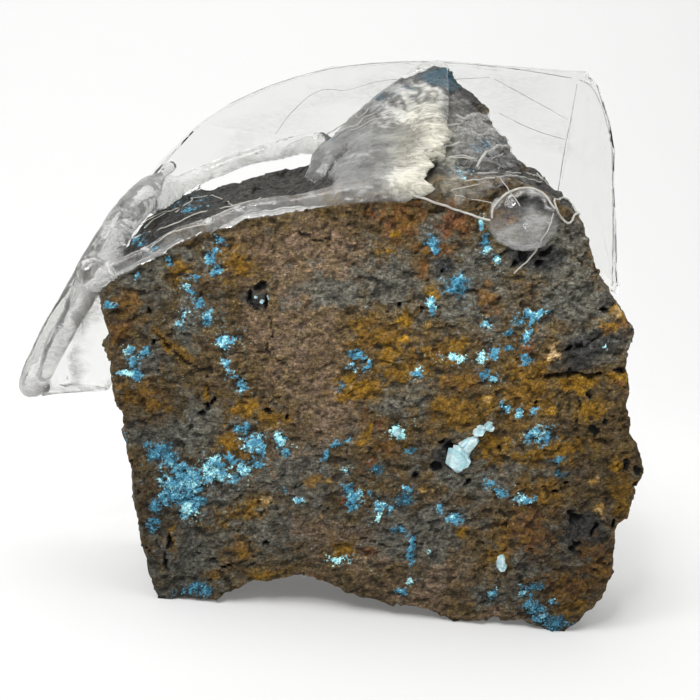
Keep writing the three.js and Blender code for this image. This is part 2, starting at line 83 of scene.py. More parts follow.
# Blue crusts. The last value goes from 0, deep blue, to 1, the palest.
BLUE = (
    (10.6, 69.8, 2.5, 1, 22, -0.5), (11.9, 68.7, 1, 0.6, 0, -0.5), (7.2, 67.3, 1.5, 0.5, -10, -0.2),
    (3.5, 66.8, 1.1, 0.5, 25, -0.3), (-3.8, 60.7, 0.6, 0.5, 0, -0.2), (-1.7, 61.5, 0.6, 0.4, 0, -0.2),
    (-15.7, 50.2, 0.5, 0.6, 20, 0.4), (-16.4, 48.9, 0.5, 0.5, 45, 0.35),
    (-17.3, 47.8, 0.5, 0.6, 20, 0.5), (-16.8, 46.7, 0.5, 0.6, -30, 0.45),
    (-19.3, 45.7, 0.6, 0.4, 0, 0.3), (-20.3, 44.6, 0.5, 0.5, 0, 0.8), (-19.6, 43.7, 0.5, 0.5, -40, 0.3),
    (-18.5, 42.6, 0.5, 0.6, -40, 0.35), (-17.9, 41.4, 0.4, 0.6, -20, 0.6),
    (-17.7, 40.3, 0.5, 0.5, 0, 0.5), (-20.5, 40.7, 0.6, 0.5, 0, 0.85), (-21.2, 39.7, 0.4, 0.4, 0, 0.7),
    (-15.4, 37.9, 1, 1, 0, 0.6), (-27.4, 37, 0.5, 0.4, -30, 0.8), (-27, 35, 0.5, 0.8, 0, 0.5),
    (-27.6, 33.6, 0.9, 0.4, 0, 0.7), (-26.6, 33.4, 0.5, 0.6, 0, 0.5), (-25.4, 36.2, 0.4, 0.4, 0, 0.5),
    (-15.4, 34.7, 0.4, 0.4, 0, 0.6), (-14.7, 33.6, 0.4, 0.8, 35, 0.5), (-13.9, 32.4, 0.4, 0.6, 30, 0.5),
    (-13.4, 31.5, 0.5, 0.4, 0, 0.5), (-29.8, 41.9, 0.4, 0.5, 0, 0.5), (-26.5, 45.7, 0.2, 0.3, 0, 0.6),
    (-22.3, 47.9, 0.4, 0.8, 10, 0.3), (-25.8, 24.4, 0.5, 0.4, -30, 0.3),
    (-24.3, 23.6, 1.2, 0.6, -30, 0.35), (-22.6, 22, 1.4, 0.9, -35, 0.45),
    (-21.1, 20.1, 1.5, 1, -30, 0.55), (-22.9, 19.3, 1, 1, 0, 0.75), (-23.8, 17.4, 0.6, 1, 0, 0.45),
    (-20, 18.6, 1.4, 1.1, 0, 0.6), (-20.7, 15.9, 1.1, 1, 40, 0.85), (-18.7, 17.1, 0.8, 0.8, 0, 0.4),
    (-19.3, 20.4, 1, 0.8, 30, 0.5), (-17.5, 21.4, 1.1, 1, 0, 0.9), (-16.1, 22, 0.9, 0.6, 30, 0.4),
    (-13.7, 21, 0.8, 0.9, -20, 0.8), (-14.5, 19.9, 0.6, 0.5, 30, 0.6), (-14.8, 22.1, 0.8, 0.4, 0, 0.3),
    (-11.9, 22, 0.6, 0.5, 0, 0.4), (-12.1, 24.4, 1.1, 0.8, 20, 0.7), (-11.1, 24, 0.5, 0.9, 0, 0.4),
    (-13.6, 26.5, 0.8, 0.8, 0, 0.35), (-8.6, 24.8, 0.8, 0.5, -30, 0.85), (-8.1, 23.6, 0.4, 0.4, 0, 0.5),
    (-6.6, 17, 0.3, 0.4, 0, 0.8), (-8.3, 18.2, 0.2, 0.4, 0, 0.4), (-25.2, 13.9, 0.6, 0.6, 0, 0.2),
    (-24.6, 16.3, 0.6, 1, 0, 0.2), (-22.7, 5, 0.6, 0.4, 0, 0.15), (-20.2, 5.5, 0.9, 0.5, 20, 0.25),
    (-18.9, 5.1, 0.5, 0.5, 0, 0.3), (10.2, 50.2, 0.8, 0.5, 30, 0.3), (10.6, 49.3, 0.6, 0.4, 0, 0.5),
    (16.1, 52, 0.4, 0.5, 0, 0.7), (16.5, 50.3, 0.4, 0.8, -20, 0.3), (16.8, 48.9, 0.5, 0.4, 0, 0.7),
    (18.3, 47.8, 0.4, 0.5, 0, 0.8), (13.3, 44.6, 1.2, 1, -20, 0.25), (13.9, 44.8, 0.5, 0.8, 0, 0.4),
    (9.8, 42.6, 0.4, 0.5, 0, 0.8), (10.2, 41.6, 0.4, 0.5, 0, 0.5), (16.7, 39.9, 0.4, 0.4, 0, 0.8),
    (0.8, 35.6, 0.8, 0.4, -20, 0.2), (1.9, 34.8, 0.4, 0.5, 0, 0.3), (0.1, 34, 0.4, 0.4, 0, 0.5),
    (8.5, 33.4, 0.6, 0.6, 0, 0.65), (12.9, 35.5, 0.9, 0.3, 0, 0.95), (16.4, 35.4, 0.4, 0.4, 0, 0.95),
    (16.5, 33.4, 0.5, 0.5, 0, 0.15), (-1.1, 31.5, 0.4, 0.4, 0, 0.2), (5.9, 25.9, 0.6, 0.5, 20, 1),
    (-0.5, 25.2, 0.6, 0.3, 20, 0.2), (-1.8, 24.6, 0.9, 0.4, 30, 0.15),
    (-2.9, 23.1, 0.3, 0.9, -15, 0.05), (3.6, 21.2, 0.8, 0.4, 0, 0.1), (-0.5, 21.3, 0.5, 0.3, 0, 0.8),
    (7.6, 23.8, 0.5, 0.5, 0, 0.2), (-0.3, 18.7, 0.5, 0.5, 0, 0.4), (0.3, 17.4, 0.6, 0.8, 10, 0.5),
    (1.3, 18.3, 0.6, 0.5, 20, 0.85), (2.3, 18.2, 0.5, 0.4, 0, 0.5), (0.4, 16.4, 0.4, 0.4, 0, 0.4),
    (3.3, 16.2, 0.5, 0.4, 0, 0.7), (4.7, 15.8, 0.2, 0.5, 0, 0.8), (3.6, 14.9, 0.4, 0.3, -30, 1),
    (7.4, 18.2, 0.4, 0.6, 40, 0.5), (6.6, 17.1, 0.8, 0.4, 0, 0.1), (11.5, 15.9, 0.4, 0.6, 0, 0.5),
    (13.3, 15, 0.5, 0.5, 0, 0.6), (6.3, 13.1, 0.5, 0.4, 0, 0.1), (7.9, 12.2, 0.6, 0.4, 0, 0.2),
    (7.7, 11.4, 0.4, 0.4, 0, 0.6), (10.1, 10.1, 0.2, 0.3, 0, 0.9), (7.4, 9.8, 0.4, 0.8, 0, 0.3),
    (7.7, 6.3, 0.2, 0.3, 0, 0.8), (6.7, 5.1, 0.6, 0.3, 0, 0.4), (-1.5, 9.3, 0.8, 0.5, 10, 1),
    (23.1, 41, 1.2, 0.5, 20, 0.6), (22.5, 40.3, 0.5, 0.6, 0, 0.3), (20.7, 40.3, 0.5, 0.4, 0, 0.3),
    (19.7, 38.4, 0.6, 0.4, 0, 0.2), (22, 38, 0.5, 0.8, -30, 0.5), (18.1, 36.1, 0.4, 0.6, 0, 0.4),
    (20, 36.4, 0.4, 0.4, 0, 0.2), (22, 35.2, 0.6, 0.4, -10, 0.4), (16.7, 33.6, 0.4, 0.5, 0, 0.1),
    (18.2, 32.4, 0.6, 0.4, 0, 0.8), (19.5, 29.1, 0.6, 0.6, -20, 0.4), (21.3, 28.6, 0.5, 0.5, -30, 0.8),
    (22.9, 28.7, 0.4, 0.4, 0, 0.4), (23.5, 25.7, 1, 0.6, 20, 0.75), (24.8, 25.3, 0.8, 0.6, 0, 0.4),
    (23.8, 24.7, 0.8, 0.4, 0, 0.7), (26.2, 22.3, 0.6, 0.3, 0, 0.3), (26.9, 20.5, 0.8, 0.3, 10, 0),
    (17.7, 19.7, 0.5, 0.5, 0, 0.4), (19.2, 18.3, 0.4, 0.4, 0, 0.4), (21.8, 17.2, 0.4, 0.5, 0, 0.8),
    (22.7, 16.8, 0.6, 0.3, 0, 0.6), (23.4, 17.1, 0.2, 0.3, 0, 0.5), (32, 36.8, 0.2, 0.2, 0, 1),
    (18.3, 4.8, 0.4, 0.6, 0, 0.5), (22.2, 4.7, 0.5, 0.6, 20, 0.8), (23, 3.4, 0.8, 0.9, -40, 0.3),
    (24, 2.3, 0.9, 0.8, -40, 0.35), (24.9, 1.2, 0.8, 0.6, 0, 0.3), (26.6, 0.5, 1.4, 0.8, 5, 0.1),
    (27.9, 0.7, 0.6, 0.4, 0, 0.5), (26.1, -0.4, 1, 0.4, 0, 0.2), (23.2, 5.5, 1.2, 0.3, 10, 0.1),
    (26.4, 3.5, 0.5, 0.3, -20, 0.4), (24.9, 1.7, 0.4, 0.4, 0, 0.8), (-21.6, 21, 2, 1.1, -35, 0.5),
    (-19.6, 19.3, 1.5, 1.3, 0, 0.6), (-20.9, 17.4, 1.5, 1.1, 20, 0.5), (-22.9, 17.9, 1.1, 1.1, 0, 0.4),
    (-16.8, 20.5, 1.1, 0.8, 20, 0.8), (-19.1, 16.8, 1, 0.8, 0, 0.5), (-24.1, 23.4, 1, 0.8, 30, 0.3),
    (-19.7, 54.5, 1.2, 0.5, 8, 0.45), (-26.1, 50.6, 0.8, 0.4, 25, 0.5),
    (-24.2, 49.2, 0.8, 0.4, 20, 0.4), (-29.4, 47.4, 0.8, 0.3, 30, 0.3), (16.3, 61.8, 1.1, 0.5, 0, 0.1),
    (13.9, 58.7, 0.8, 0.4, 0, 0.7),
)

# Iron stains. The last value goes from 0, rust red, to 1, cream.
OCHRE = (
    (-12.8, 29.1, 1.5, 1, 0, 0.6), (-9.5, 27.7, 1.1, 0.8, 0, 0.5), (-15.4, 24.6, 1.1, 1.3, 0, 0.6),
    (-13, 22.7, 1, 0.5, -20, 0.25), (-21.3, 46.7, 1.1, 0.9, 0, 0.45), (-14.1, 47.1, 1.5, 1.8, 30, 0.35),
    (-24.2, 38.8, 0.6, 0.3, -40, 0.5), (-22.9, 37.3, 0.9, 0.4, -48, 0.6),
    (-21.1, 35.9, 1, 0.4, -42, 0.4), (-18, 31.1, 0.2, 1.1, 0, 0.5), (-22.6, 12.1, 0.3, 1.1, 0, 0.7),
    (-10.8, 16.4, 0.6, 0.6, 0, 1), (-15.6, 15, 0.5, 0.5, 0, 0.95), (-13.8, 15.5, 2.2, 0.9, 15, 0.4),
    (-10.5, 7, 1.6, 0.6, 15, 0.55), (-17.3, 7.4, 1, 0.4, 0, 0.3), (-4.5, 6.9, 1, 0.4, -10, 0.2),
    (-14.1, 10.7, 1.5, 1.1, 0, 0.3), (5.8, 50.9, 0.4, 0.4, 0, 0.58), (4.6, 48.9, 0.9, 0.4, 0, 0.58),
    (6.2, 52.5, 2, 1.8, 0, 0.18), (1.8, 53.7, 0.5, 0.4, 0, 0.1), (2.8, 53.6, 0.4, 0.4, 0, -0.12),
    (12.6, 52.5, 1.5, 1.3, -30, 0.03), (11.9, 49.4, 0.8, 0.5, 30, 0.13), (8.8, 48.9, 1, 0.9, 0, 0.23),
    (9.2, 46.8, 0.6, 1.1, 0, 0.15), (10.3, 43.7, 0.8, 0.6, 0, 0.8), (10.2, 39.9, 0.4, 0.3, 0, 0.95),
    (1.6, 39.9, 1.2, 0.8, 10, 0.3), (6.6, 40.3, 0.6, 0.8, -35, 0.7), (6.4, 38, 0.6, 0.5, 0, 0.85),
    (4.9, 36.1, 1.2, 1.7, -20, 0.65), (2.7, 37.8, 2.2, 1, 20, 0.3), (13.2, 36.9, 1.2, 0.5, 20, 0.6),
    (9.6, 36.6, 1, 0.6, 0, 0.4), (11.3, 36.2, 2.8, 1.3, 0, 0.3), (6.3, 33.7, 2.5, 1, 0, 0.4),
    (1.9, 32.2, 2.2, 0.8, 0, 0.7), (0.6, 30.6, 1.8, 0.6, 0, 0.5), (1.9, 27.8, 0.4, 0.9, 0, 0.05),
    (3.8, 27.3, 0.5, 0.5, 0, 0.05), (2.4, 26.1, 0.3, 1.1, 0, 0.45), (13.5, 28.6, 3.2, 1.7, 0, 0.35),
    (12.3, 29.1, 1.8, 0.9, 0, 0.45), (1.5, 24.6, 0.5, 0.6, 0, 0.8), (4.6, 24, 1.4, 1.1, -20, 0.2),
    (6.8, 24.8, 0.5, 0.9, 0, 0.35), (-4.8, 19.6, 1, 0.5, -15, 0.3), (-1, 16.6, 0.4, 0.5, 0, 0.05),
    (9.2, 18.3, 0.4, 0.3, 0, 0.95), (-2.7, 19.5, 0.4, 0.2, 0, 0.9), (-1, 10.6, 0.9, 1, 0, 0.7),
    (14.4, 12.9, 0.6, 0.5, 0, 0.85), (2.1, 10.3, 0.9, 0.4, 0, 0.1), (2.8, 22.1, 0.9, 0.6, 30, 0.1),
    (22, 36.8, 0.8, 0.6, 30, 0.05), (25.1, 36.4, 0.8, 0.8, 0, 1), (34, 40.5, 0.8, 0.8, 30, 0.2),
    (32.4, 39, 0.9, 0.4, 20, 0.2), (34, 32.7, 1.4, 0.4, 5, 0.25), (27.9, 31.9, 1.2, 0.6, 0, 0.65),
    (30.7, 29.1, 1, 0.8, 20, 0.5), (25.3, 28.7, 0.8, 0.5, 0, 0.75), (22, 32, 2.5, 2.8, 0, 0.35),
    (23.8, 33.7, 0.8, 0.6, 0, 0.5), (17.1, 30.1, 0.5, 0.3, 0, 0.9), (18.3, 23.8, 1.6, 1.7, 0, 0.4),
    (25.1, 23.4, 3.5, 1.1, 10, 0.5), (27.8, 24, 1.5, 0.8, 0, 0.45), (24.2, 18.4, 1.9, 1, 0, 0.3),
    (24.8, 17.4, 1.8, 1, 0, 0.35), (31, 19.9, 0.4, 0.3, 0, 0.95), (31.9, 15.9, 0.4, 0.4, 0, 0.95),
    (33.6, 21.3, 0.5, 0.8, 0, 0.8), (34.6, 17.4, 0.9, 3, 5, 0.55), (19.5, 10.5, 1.2, 2.3, -12, 0.3),
    (18.9, 9.4, 1.5, 1.1, 0, 0.35), (20.2, 12.7, 0.5, 1.5, 0, 0.25), (28.6, 3, 1.8, 0.8, 25, 0.5),
    (23, 13.1, 2.2, 2.5, 0, 0.18), (27.7, 5.1, 2.8, 1.8, 0, 0.22), (32.1, 8.5, 2, 2, 0, 0.2),
    (21.4, 28.8, 1, 2, 0, 0.3), (-27.3, 42.2, 1.5, 1.3, 0, 0.25), (-26.4, 30.8, 2, 1, 0, 0.3),
    (-28.9, 39, 1, 1.5, 0, 0.2), (-25.2, 29.5, 1.5, 0.8, 0, 0.3), (14.1, 32.7, 2.5, 1, 0, 0.25),
    (17, 42.8, 1, 1.3, 0, 0.2), (18.2, 53.4, 1.8, 0.8, -30, 0.2), (33.6, 41.2, 0.8, 1, 0, 0.95),
    (32.4, 39.3, 0.9, 0.4, -25, 0.9), (33.9, 33.1, 1.2, 0.6, 0, 0.85), (28.6, 32, 1.5, 0.8, 0, 0.8),
    (30.5, 28.8, 1.2, 0.9, 0, 0.75),
)

# Pits and hollows, painted black inside as painted shade.
PITS = (
    (14.1, 59.3, 1.5, 0.9, -8), (-18.1, 29.1, 0.4, 0.5, 0), (-18.9, 28.3, 0.4, 0.3, 0),
    (-17.2, 29.6, 0.2, 0.4, 0), (-11.3, 44.6, 0.8, 0.4, 0), (-12.3, 43.3, 0.3, 0.8, 0),
    (-10.4, 42.8, 0.3, 0.8, 0), (13.2, 23.6, 1.1, 0.5, -25), (11, 21.6, 0.8, 0.6, 0),
    (11.6, 24.6, 0.4, 0.3, 0), (14.9, 19.6, 0.4, 0.3, 0), (8.6, 20.4, 0.4, 0.4, 0),
    (21.3, 48.3, 0.6, 0.9, 0), (23.5, 47.6, 0.6, 0.4, 0), (20.5, 47.3, 0.4, 0.5, 0),
    (24.2, 49, 0.8, 0.4, 30), (27.5, 36.9, 0.4, 0.3, 0), (28.6, 37, 0.4, 0.3, 0),
    (27.3, 34.3, 0.3, 0.3, 0), (33.9, 34.2, 0.8, 0.5, 10), (31.6, 41.9, 0.6, 0.3, 20),
    (35.1, 21.6, 0.6, 0.8, 0), (36.7, 20.8, 0.5, 0.4, 0), (28.7, 14.5, 0.8, 0.5, 20),
    (28.1, 15.3, 0.4, 0.4, 0), (31.2, 13, 0.2, 1, 0), (29.1, 11.1, 0.8, 0.4, 30),
    (28.3, 10.5, 0.5, 0.3, 0), (33.7, 13.9, 0.2, 0.6, 0), (32.7, 17.1, 0.2, 0.3, 0),
    (27.4, 19.5, 0.5, 0.2, 0), (-10.6, 11.4, 0.4, 0.3, 0), (-10, 28.6, 0.4, 0.3, 0),
    (-16, 8.3, 0.8, 0.2, 15), (18.7, 24, 0.2, 0.4, 0), (26.2, 18.2, 0.5, 0.2, -10),
    (30.9, 26, 0.8, 0.4, -20), (32.4, 27.4, 0.4, 0.6, 0), (23.3, 29.9, 0.2, 0.3, 0),
    (29.9, 30.8, 0.2, 0.6, 0), (8.7, 41.9, 0.2, 0.3, 0), (11.5, 46.6, 0.2, 0.3, 0),
    (6, 42.1, 0.2, 0.3, 0), (-8.1, 27.8, 0.2, 0.4, 0), (-24.8, 41.3, 0.2, 0.3, 0),
    (-24.7, 37.4, 0.2, 0.3, 0), (-22.8, 11.8, 0.2, 1, 0), (-23.6, 9.1, 0.2, 1.3, 0),
)

# Dark patches on the face.
DARK = (
    (11.6, 47.3, 1.6, 1.1, 0), (30, 37.1, 5.2, 1.8, 22), (27.6, 34.5, 2.8, 1, 10),
    (29.8, 12.7, 3.2, 2.8, 0), (23.5, 48.3, 3.2, 1.7, 0), (-11.8, 43.3, 1.5, 1.5, 0),
    (12.5, 23, 2.2, 1.8, 0), (32.3, 42.8, 1, 1.3, 0), (21.4, 48.4, 2, 1.8, 0), (21.6, 54.5, 2.8, 1, 5),
)

# Grey patches.
GREY = (
    (-26.1, 44.1, 3.8, 3.3, 0), (-22.3, 47.6, 3.8, 1.5, 10), (-19.9, 40.3, 2, 3.3, -30),
    (5, 45.1, 4.5, 3, 0), (-1.9, 44.1, 4.2, 2, 0), (-24, 25.6, 5, 1.8, 0), (-15.3, 17.1, 4.5, 2.8, 0),
    (-13.4, 11.8, 6.2, 2.5, 0), (6.3, 29.7, 3.2, 1.5, 0), (11.5, 14.5, 5, 2, 0),
    (17.8, 19.7, 4.2, 1.8, 0), (16.2, 42.8, 3, 3.8, 0), (26.5, 50.3, 2.5, 3, -30),
    (21.8, 9.1, 3.8, 3.3, 0), (29.4, 11.8, 4.2, 3.3, 0), (10.2, 11.1, 3.2, 3.3, 0),
    (31.2, 37.8, 5, 2.8, 0), (6.4, 13.1, 3.8, 3.8, 0), (-25, 35.2, 2.5, 2.5, 0),
    (19.3, 4.4, 3.8, 1.3, 0), (14.9, 44.1, 4.8, 5.7, 20), (23.5, 49, 5, 5.1, 50),
    (28.6, 42.8, 3.8, 5.1, 60), (31.2, 39, 2.5, 3.8, 0), (9.9, 51.5, 3.2, 2.3, 0),
    (-20.5, 9.1, 5, 5.1, 0), (-18.9, 26.2, 6.2, 3.2, 10), (-6.4, 19.7, 6.2, 3.8, 0),
    (-23.2, 3.8, 3.8, 1.9, 0), (-11.5, 14.5, 5, 3.2, 0), (8.2, 30.8, 2.5, 3.2, 0),
    (16.5, 21, 7.5, 3.2, 0),
)

# Red-brown patches.
MAUVE = (
    (-6.2, 47.8, 6.2, 4.6, 0), (-6.2, 39, 5, 6.3, 0), (-7.7, 3.8, 1.2, 0.8, 0),
    (1.3, 11.1, 4.2, 2.8, 0), (9, 5.1, 5, 2.5, 0), (-5.1, 13.1, 4.2, 2.8, 0), (-2.5, 27.5, 3.8, 3.3, 0),
    (-5, 31.4, 3.8, 2.5, 0), (18.9, 2.1, 2, 1, 0), (12.8, 8.5, 3.2, 2.3, 0), (-7.6, 22.3, 2.5, 1.8, 0),
)

# Milky parts of the glue, and painted highlights along the lip of the cover and on the upper rim of the
# round drop. The last value is how milky, and for a highlight how bright.
MILK_AND_GLINTS = (
    (5.9, 61.3, 3.5, 2.8, 0, 0.16), (-33.9, 31.1, 4.2, 0.8, 0, 0.3), (-23.5, 48.4, 5.5, 0.9, 27, 0.2),
    (-17.9, 50.8, 3.8, 0.9, 20, 0.2), (-11.1, 53.7, 7.5, 1.1, 8, 0.18), (-1.8, 55.2, 6.5, 1.1, 3, 0.18),
    # (18.3, 54.7) to (24.6, 54.7) paint a highlight on the upper rim of the round drop, and (-0.7, 55.2)
    # to (-29.5, 46.3) paint highlights along the lip of the cover.
    (0, 64.3, 3.8, 1.8, -35, 0.2), (-1.8, 65.1, 2.5, 0.8, -35, 0.34), (18.3, 54.7, 1, 0.3, 50, 0.5),
    (20.1, 55.7, 1.5, 0.3, 18, 0.5), (22.7, 55.8, 1.5, 0.3, -12, 0.5),
    (24.6, 54.7, 0.9, 0.3, -50, 0.45), (-0.7, 55.2, 0.4, 0.2, 0, 0.6), (0.2, 55.3, 0.4, 0.3, 0, 0.8),
    (2.2, 55.4, 0.5, 0.2, 0, 0.6), (4.7, 55.7, 0.4, 0.2, 0, 0.6), (7.3, 57.4, 1.1, 0.3, -15, 0.8),
    (-13.1, 54.1, 1.2, 0.2, -15, 0.6), (-9.8, 54.8, 0.9, 0.2, -8, 0.5),
    (-17.5, 52.2, 1.1, 0.2, -25, 0.6), (-24.7, 49, 1.5, 0.2, -28, 0.5), (-29.5, 46.3, 1, 0.3, -30, 0.6),
    (7.2, 60.6, 4, 4.4, -12, 0.24), (9.8, 60.2, 2, 4.1, -14, 0.55), (10.3, 58.6, 1.5, 2.4, -20, 0.85),
    (11.7, 62.5, 2.5, 0.8, 0, 0.62), (12.4, 61, 2.2, 0.5, 5, 0.6), (7.1, 58.1, 1.8, 1, 0, 0.7),
    (8.8, 56.4, 2.5, 1, 0, 0.7), (21.1, 51, 3, 1.7, 0, 0.32), (7.4, 54.6, 1.2, 0.4, 10, 0.5),
    (1.8, 58.9, 6.2, 3.8, -8, 0.16), (8, 66.8, 3.2, 0.6, -25, 0.62), (7, 65.4, 3, 0.5, -15, 0.6),
    (5.8, 64.4, 2.5, 0.4, -5, 0.5), (9.5, 68.2, 1.8, 0.5, -35, 0.55), (10.9, 66.3, 1.5, 0.5, 10, 0.5),
    (9.1, 64.4, 2.2, 0.4, 0, 0.5), (-0.6, 60.1, 4.2, 0.4, 12, 0.3), (2.7, 56.9, 3.8, 0.5, 0, 0.28),
    (19.5, 51.8, 1.2, 0.6, 30, 0.45), (21.5, 50.3, 2, 0.5, 0, 0.45), (23.2, 51.8, 1, 0.8, -30, 0.4),
    (-24.5, 55.8, 4, 2, 45, 0.18), (-31.4, 44.7, 1.4, 5.6, -30, 0.2), (-32.6, 41.8, 1.1, 3.6, -20, 0.7),
    (-39.4, 31.7, 1.8, 1.5, 0, 0.45), (-37.5, 37.1, 1.2, 5.1, -26, 0.2),
    (-28.6, 50.3, 1.5, 3.3, -38, 0.2), (-19, 55.8, 5.2, 0.8, 38, 0.2), (-10.4, 60.3, 5.2, 0.8, 16, 0.2),
    (-2.3, 59.7, 0.8, 3, 0, 0.22),
)

# The thin film of glue on the rock to the right of the peak. The last value is how milky.
FILM = (
    (14.8, 65.1, 2.8, 0.3, 20, 0.28), (14.4, 63.5, 3.5, 0.4, 10, 0.23), (14.6, 62, 3.5, 0.3, 2, 0.22),
    (13.7, 60.4, 3.2, 0.3, -4, 0.22), (13.2, 59.1, 2.5, 0.3, -12, 0.19), (14.6, 62.7, 4, 3, 0, 0.06),
    (12.7, 66.3, 1.5, 1, 30, 0.1), (15.3, 64.3, 0.9, 0.6, 0, 0.28), (17.1, 60.3, 2.8, 0.4, -12, 0.19),
    (18.1, 61.3, 1.8, 0.4, 25, 0.22), (12.9, 56.2, 2.8, 0.5, 0, 0.17), (16.9, 57.4, 3.2, 0.3, 4, 0.17),
    (12.4, 61.3, 1.1, 4.1, 0, 0.12), (12.5, 57.2, 1.5, 1.1, 0, 0.17), (15.1, 64.7, 3, 0.3, 18, 0.28),
    (15.8, 63, 2.5, 0.3, 5, 0.25), (15.1, 61.3, 2.8, 0.3, -3, 0.25),
)

# Frosted parts of the tray, in the same form.
FROST = (
    (-32.3, 42.1, 1, 3.6, -20, 0.35), (-34.3, 35, 0.4, 2.8, -8, 0.35), (-33.9, 31.1, 4.2, 0.6, 0, 0.35),
    (-39.4, 31.7, 1.4, 1.3, 0, 0.25), (-29.4, 49, 1.2, 3, -38, 0.2), (-6.1, 65.5, 4.2, 1.1, 35, 0.09),
    (1.2, 68.2, 6.2, 0.9, 8, 0.09), (20.6, 66.3, 5, 0.9, -30, 0.08), (23.1, 63, 4.5, 0.9, -25, 0.08),
    (14.5, 70.4, 8.8, 0.5, -3, 0.07), (-12.2, 63.7, 3, 1, 45, 0.08),
)

# Where the milk has yellowed.
WARM = (
    (9.2, 61.3, 3.6, 5.4, 0), (8.6, 57, 3.2, 1.4, 0), (11, 56.4, 3.2, 1.2, 0),
)

# Each pale crystal is a cluster of blocks of these sizes, as shares of the crystal.
BLOCK_SIZES = (1, 0.8, 0.65)

# Pale crystals: x, z, width, height, turn in degrees.
CRYSTALS = (
    (13.6, 22.4, 3.1, 3.1, 8), (15.2, 24.4, 2.7, 1.5, 38), (16.3, 26.1, 1.5, 1.1, 20),
    (17.4, 26.7, 1.3, 0.9, 30), (19.4, 8.5, 1.4, 2, 20), (5.9, 26, 1, 0.8, 0),
    (-10.9, 42.7, 0.6, 0.4, -15), (-10.1, 43.2, 0.3, 0.8, 15), (-11.7, 43.2, 0.4, 0.3, 0),
)

# Where the glue is thicker: by how much, and along which line as seen.
SWELLS = (
    (0.9, ((-22.7, 56.2), (-27.9, 52.5), (-32.9, 44.7), (-37.5, 37.1), (-40.2, 32.6))),
    (0.4, ((-22.7, 55.8), (-18.3, 59.1), (-12.2, 61.3), (-6.1, 62.1), (-3.4, 61))),
)

# The round drop.
DROP = (21, 52.7, 4.3, 3.9, 0)

# Fold lines and edges of the tray, grey as painted reflection: width, and the points as seen.
CREASES = (
    (1, ((27.5, 69.2), (27, 65.9), (26.2, 61.3), (25.5, 56.2))),
    (1.2, ((27.8, 69.7), (29.1, 69), (30.3, 67.1), (31.4, 63.9), (32, 61.3))),
    (1.1, ((32, 61.3), (32.3, 55.2), (32.5, 49), (32.5, 44.6))),
    (0.8, ((17.5, 69.8), (21.8, 67.5), (26.4, 65))),
    (0.7, (
        (-9.1, 63.2), (-6.8, 66.1), (-3.6, 68.4), (-0.4, 68.5), (3.9, 69.6), (10.9, 69.7), (16.9, 70),
    )),
    (0.9, ((-14.8, 66.8), (-9.7, 69), (-2.4, 71), (6, 71.8), (12.1, 71.7), (20.5, 70.9), (26.9, 69.9))),
    (0.7, ((18.2, 65.7), (21.9, 63.9), (26.3, 62.5))),
    (1, ((-40, 32.7), (-38.2, 36.8), (-35.6, 41.3), (-32.2, 47.6), (-28.6, 52))),
)

# Threads of glue: width, height over what lies under them, and the points as seen.
THREADS = (
    (1.7, 0.6, ((7.6, 55.9), (11.1, 54.7), (14.1, 53.7), (17.2, 52.6))),
    (1.1, 0.25, ((14.1, 57.5), (17.1, 57.9), (19.8, 58.1), (23.3, 57.4), (24.5, 57), (25.2, 55.2))),
    (0.7, 0.2, ((18.4, 57.9), (19.9, 55.9), (20.9, 54.5))),
    (0.7, 0.2, ((12.9, 55.7), (16, 55.2), (18.4, 54.5))),
    (0.8, 0.3, ((15.7, 59.1), (17.7, 60.4), (20.1, 61))),
    (0.6, 0.2, ((12.3, 56.4), (15.7, 57.2), (18.3, 59.1))),
    (1.2, 0.3, (
        (-28.8, 49.3), (-25.9, 50.8), (-22.9, 51.8), (-18.4, 53.6), (-15.5, 54.2), (-10.8, 55.4),
    )),
    (0.9, 0.3, ((-25.4, 51.8), (-24.4, 52.6), (-22.6, 53.6))),
    (0.9, 0.4, ((-21.5, 53.6), (-20, 54.7), (-18.4, 55.6), (-15.7, 55.3), (-14.4, 54.5))),
    (0.8, 0.3, ((-28.1, 50.6), (-24.6, 52.9), (-19.6, 54.7))),
    (0.7, 0.3, ((-24.7, 49.4), (-21.6, 51.3), (-16.7, 52.4))),
    (1.6, 0.4, (
        (25.8, 55.3), (26.6, 55.3), (27.4, 54.6), (27.5, 53.2),
        (27, 52.4), (26.1, 53), (25.4, 54.2), (25.8, 55.3),
    )),
    (1.2, 0.2, ((23.6, 50.3), (23, 49), (21.9, 47.7), (20.3, 46.2))),
    (0.9, 0.5, ((25, 53.5), (24.4, 51.5), (23.6, 50.2))),
    (1.7, 0.5, ((17.4, 52.9), (17.6, 54.2), (18.4, 55.3), (20.7, 56.6), (23.5, 56.1), (25.2, 54.2))),
    (2.2, 0.3, ((15.5, 59.2), (16.1, 60.4), (17.3, 61.3), (18.5, 61.8), (19.6, 61.9))),
    (1.3, 0.3, ((11.7, 60.4), (13.7, 60.6), (15.5, 60.3))),
    (1.2, 0.3, ((13.8, 58.4), (17.1, 58.5), (20.8, 58.5), (23.9, 58))),
    (1.7, 0.5, ((9.2, 61.3), (12.8, 62), (15.8, 63), (18.1, 64.4))),
    (1.1, 0.4, ((9.7, 63.9), (13.4, 64.5), (17, 65.1))),
    (1.2, 0.4, ((10, 60.1), (12.8, 60.4), (15.1, 60.3))),
    (0.9, 0.35, ((-2.4, 63.9), (-1.5, 64.9), (-0.6, 64.5), (0.2, 65.5), (1.2, 65.3), (2.3, 66.3))),
    (0.8, 0.35, ((-1.9, 63.5), (-0.5, 63.9), (0.9, 64.4), (1.9, 65.3), (3.3, 65.9))),
    (0.8, 0.35, ((-1.1, 65.4), (-0.1, 66.1), (0.9, 66), (1.9, 66.9), (3.2, 67.2))),
    (0.7, 0.3, ((0.2, 63.7), (1.5, 64.2), (2.6, 64.9), (4, 65.3))),
)

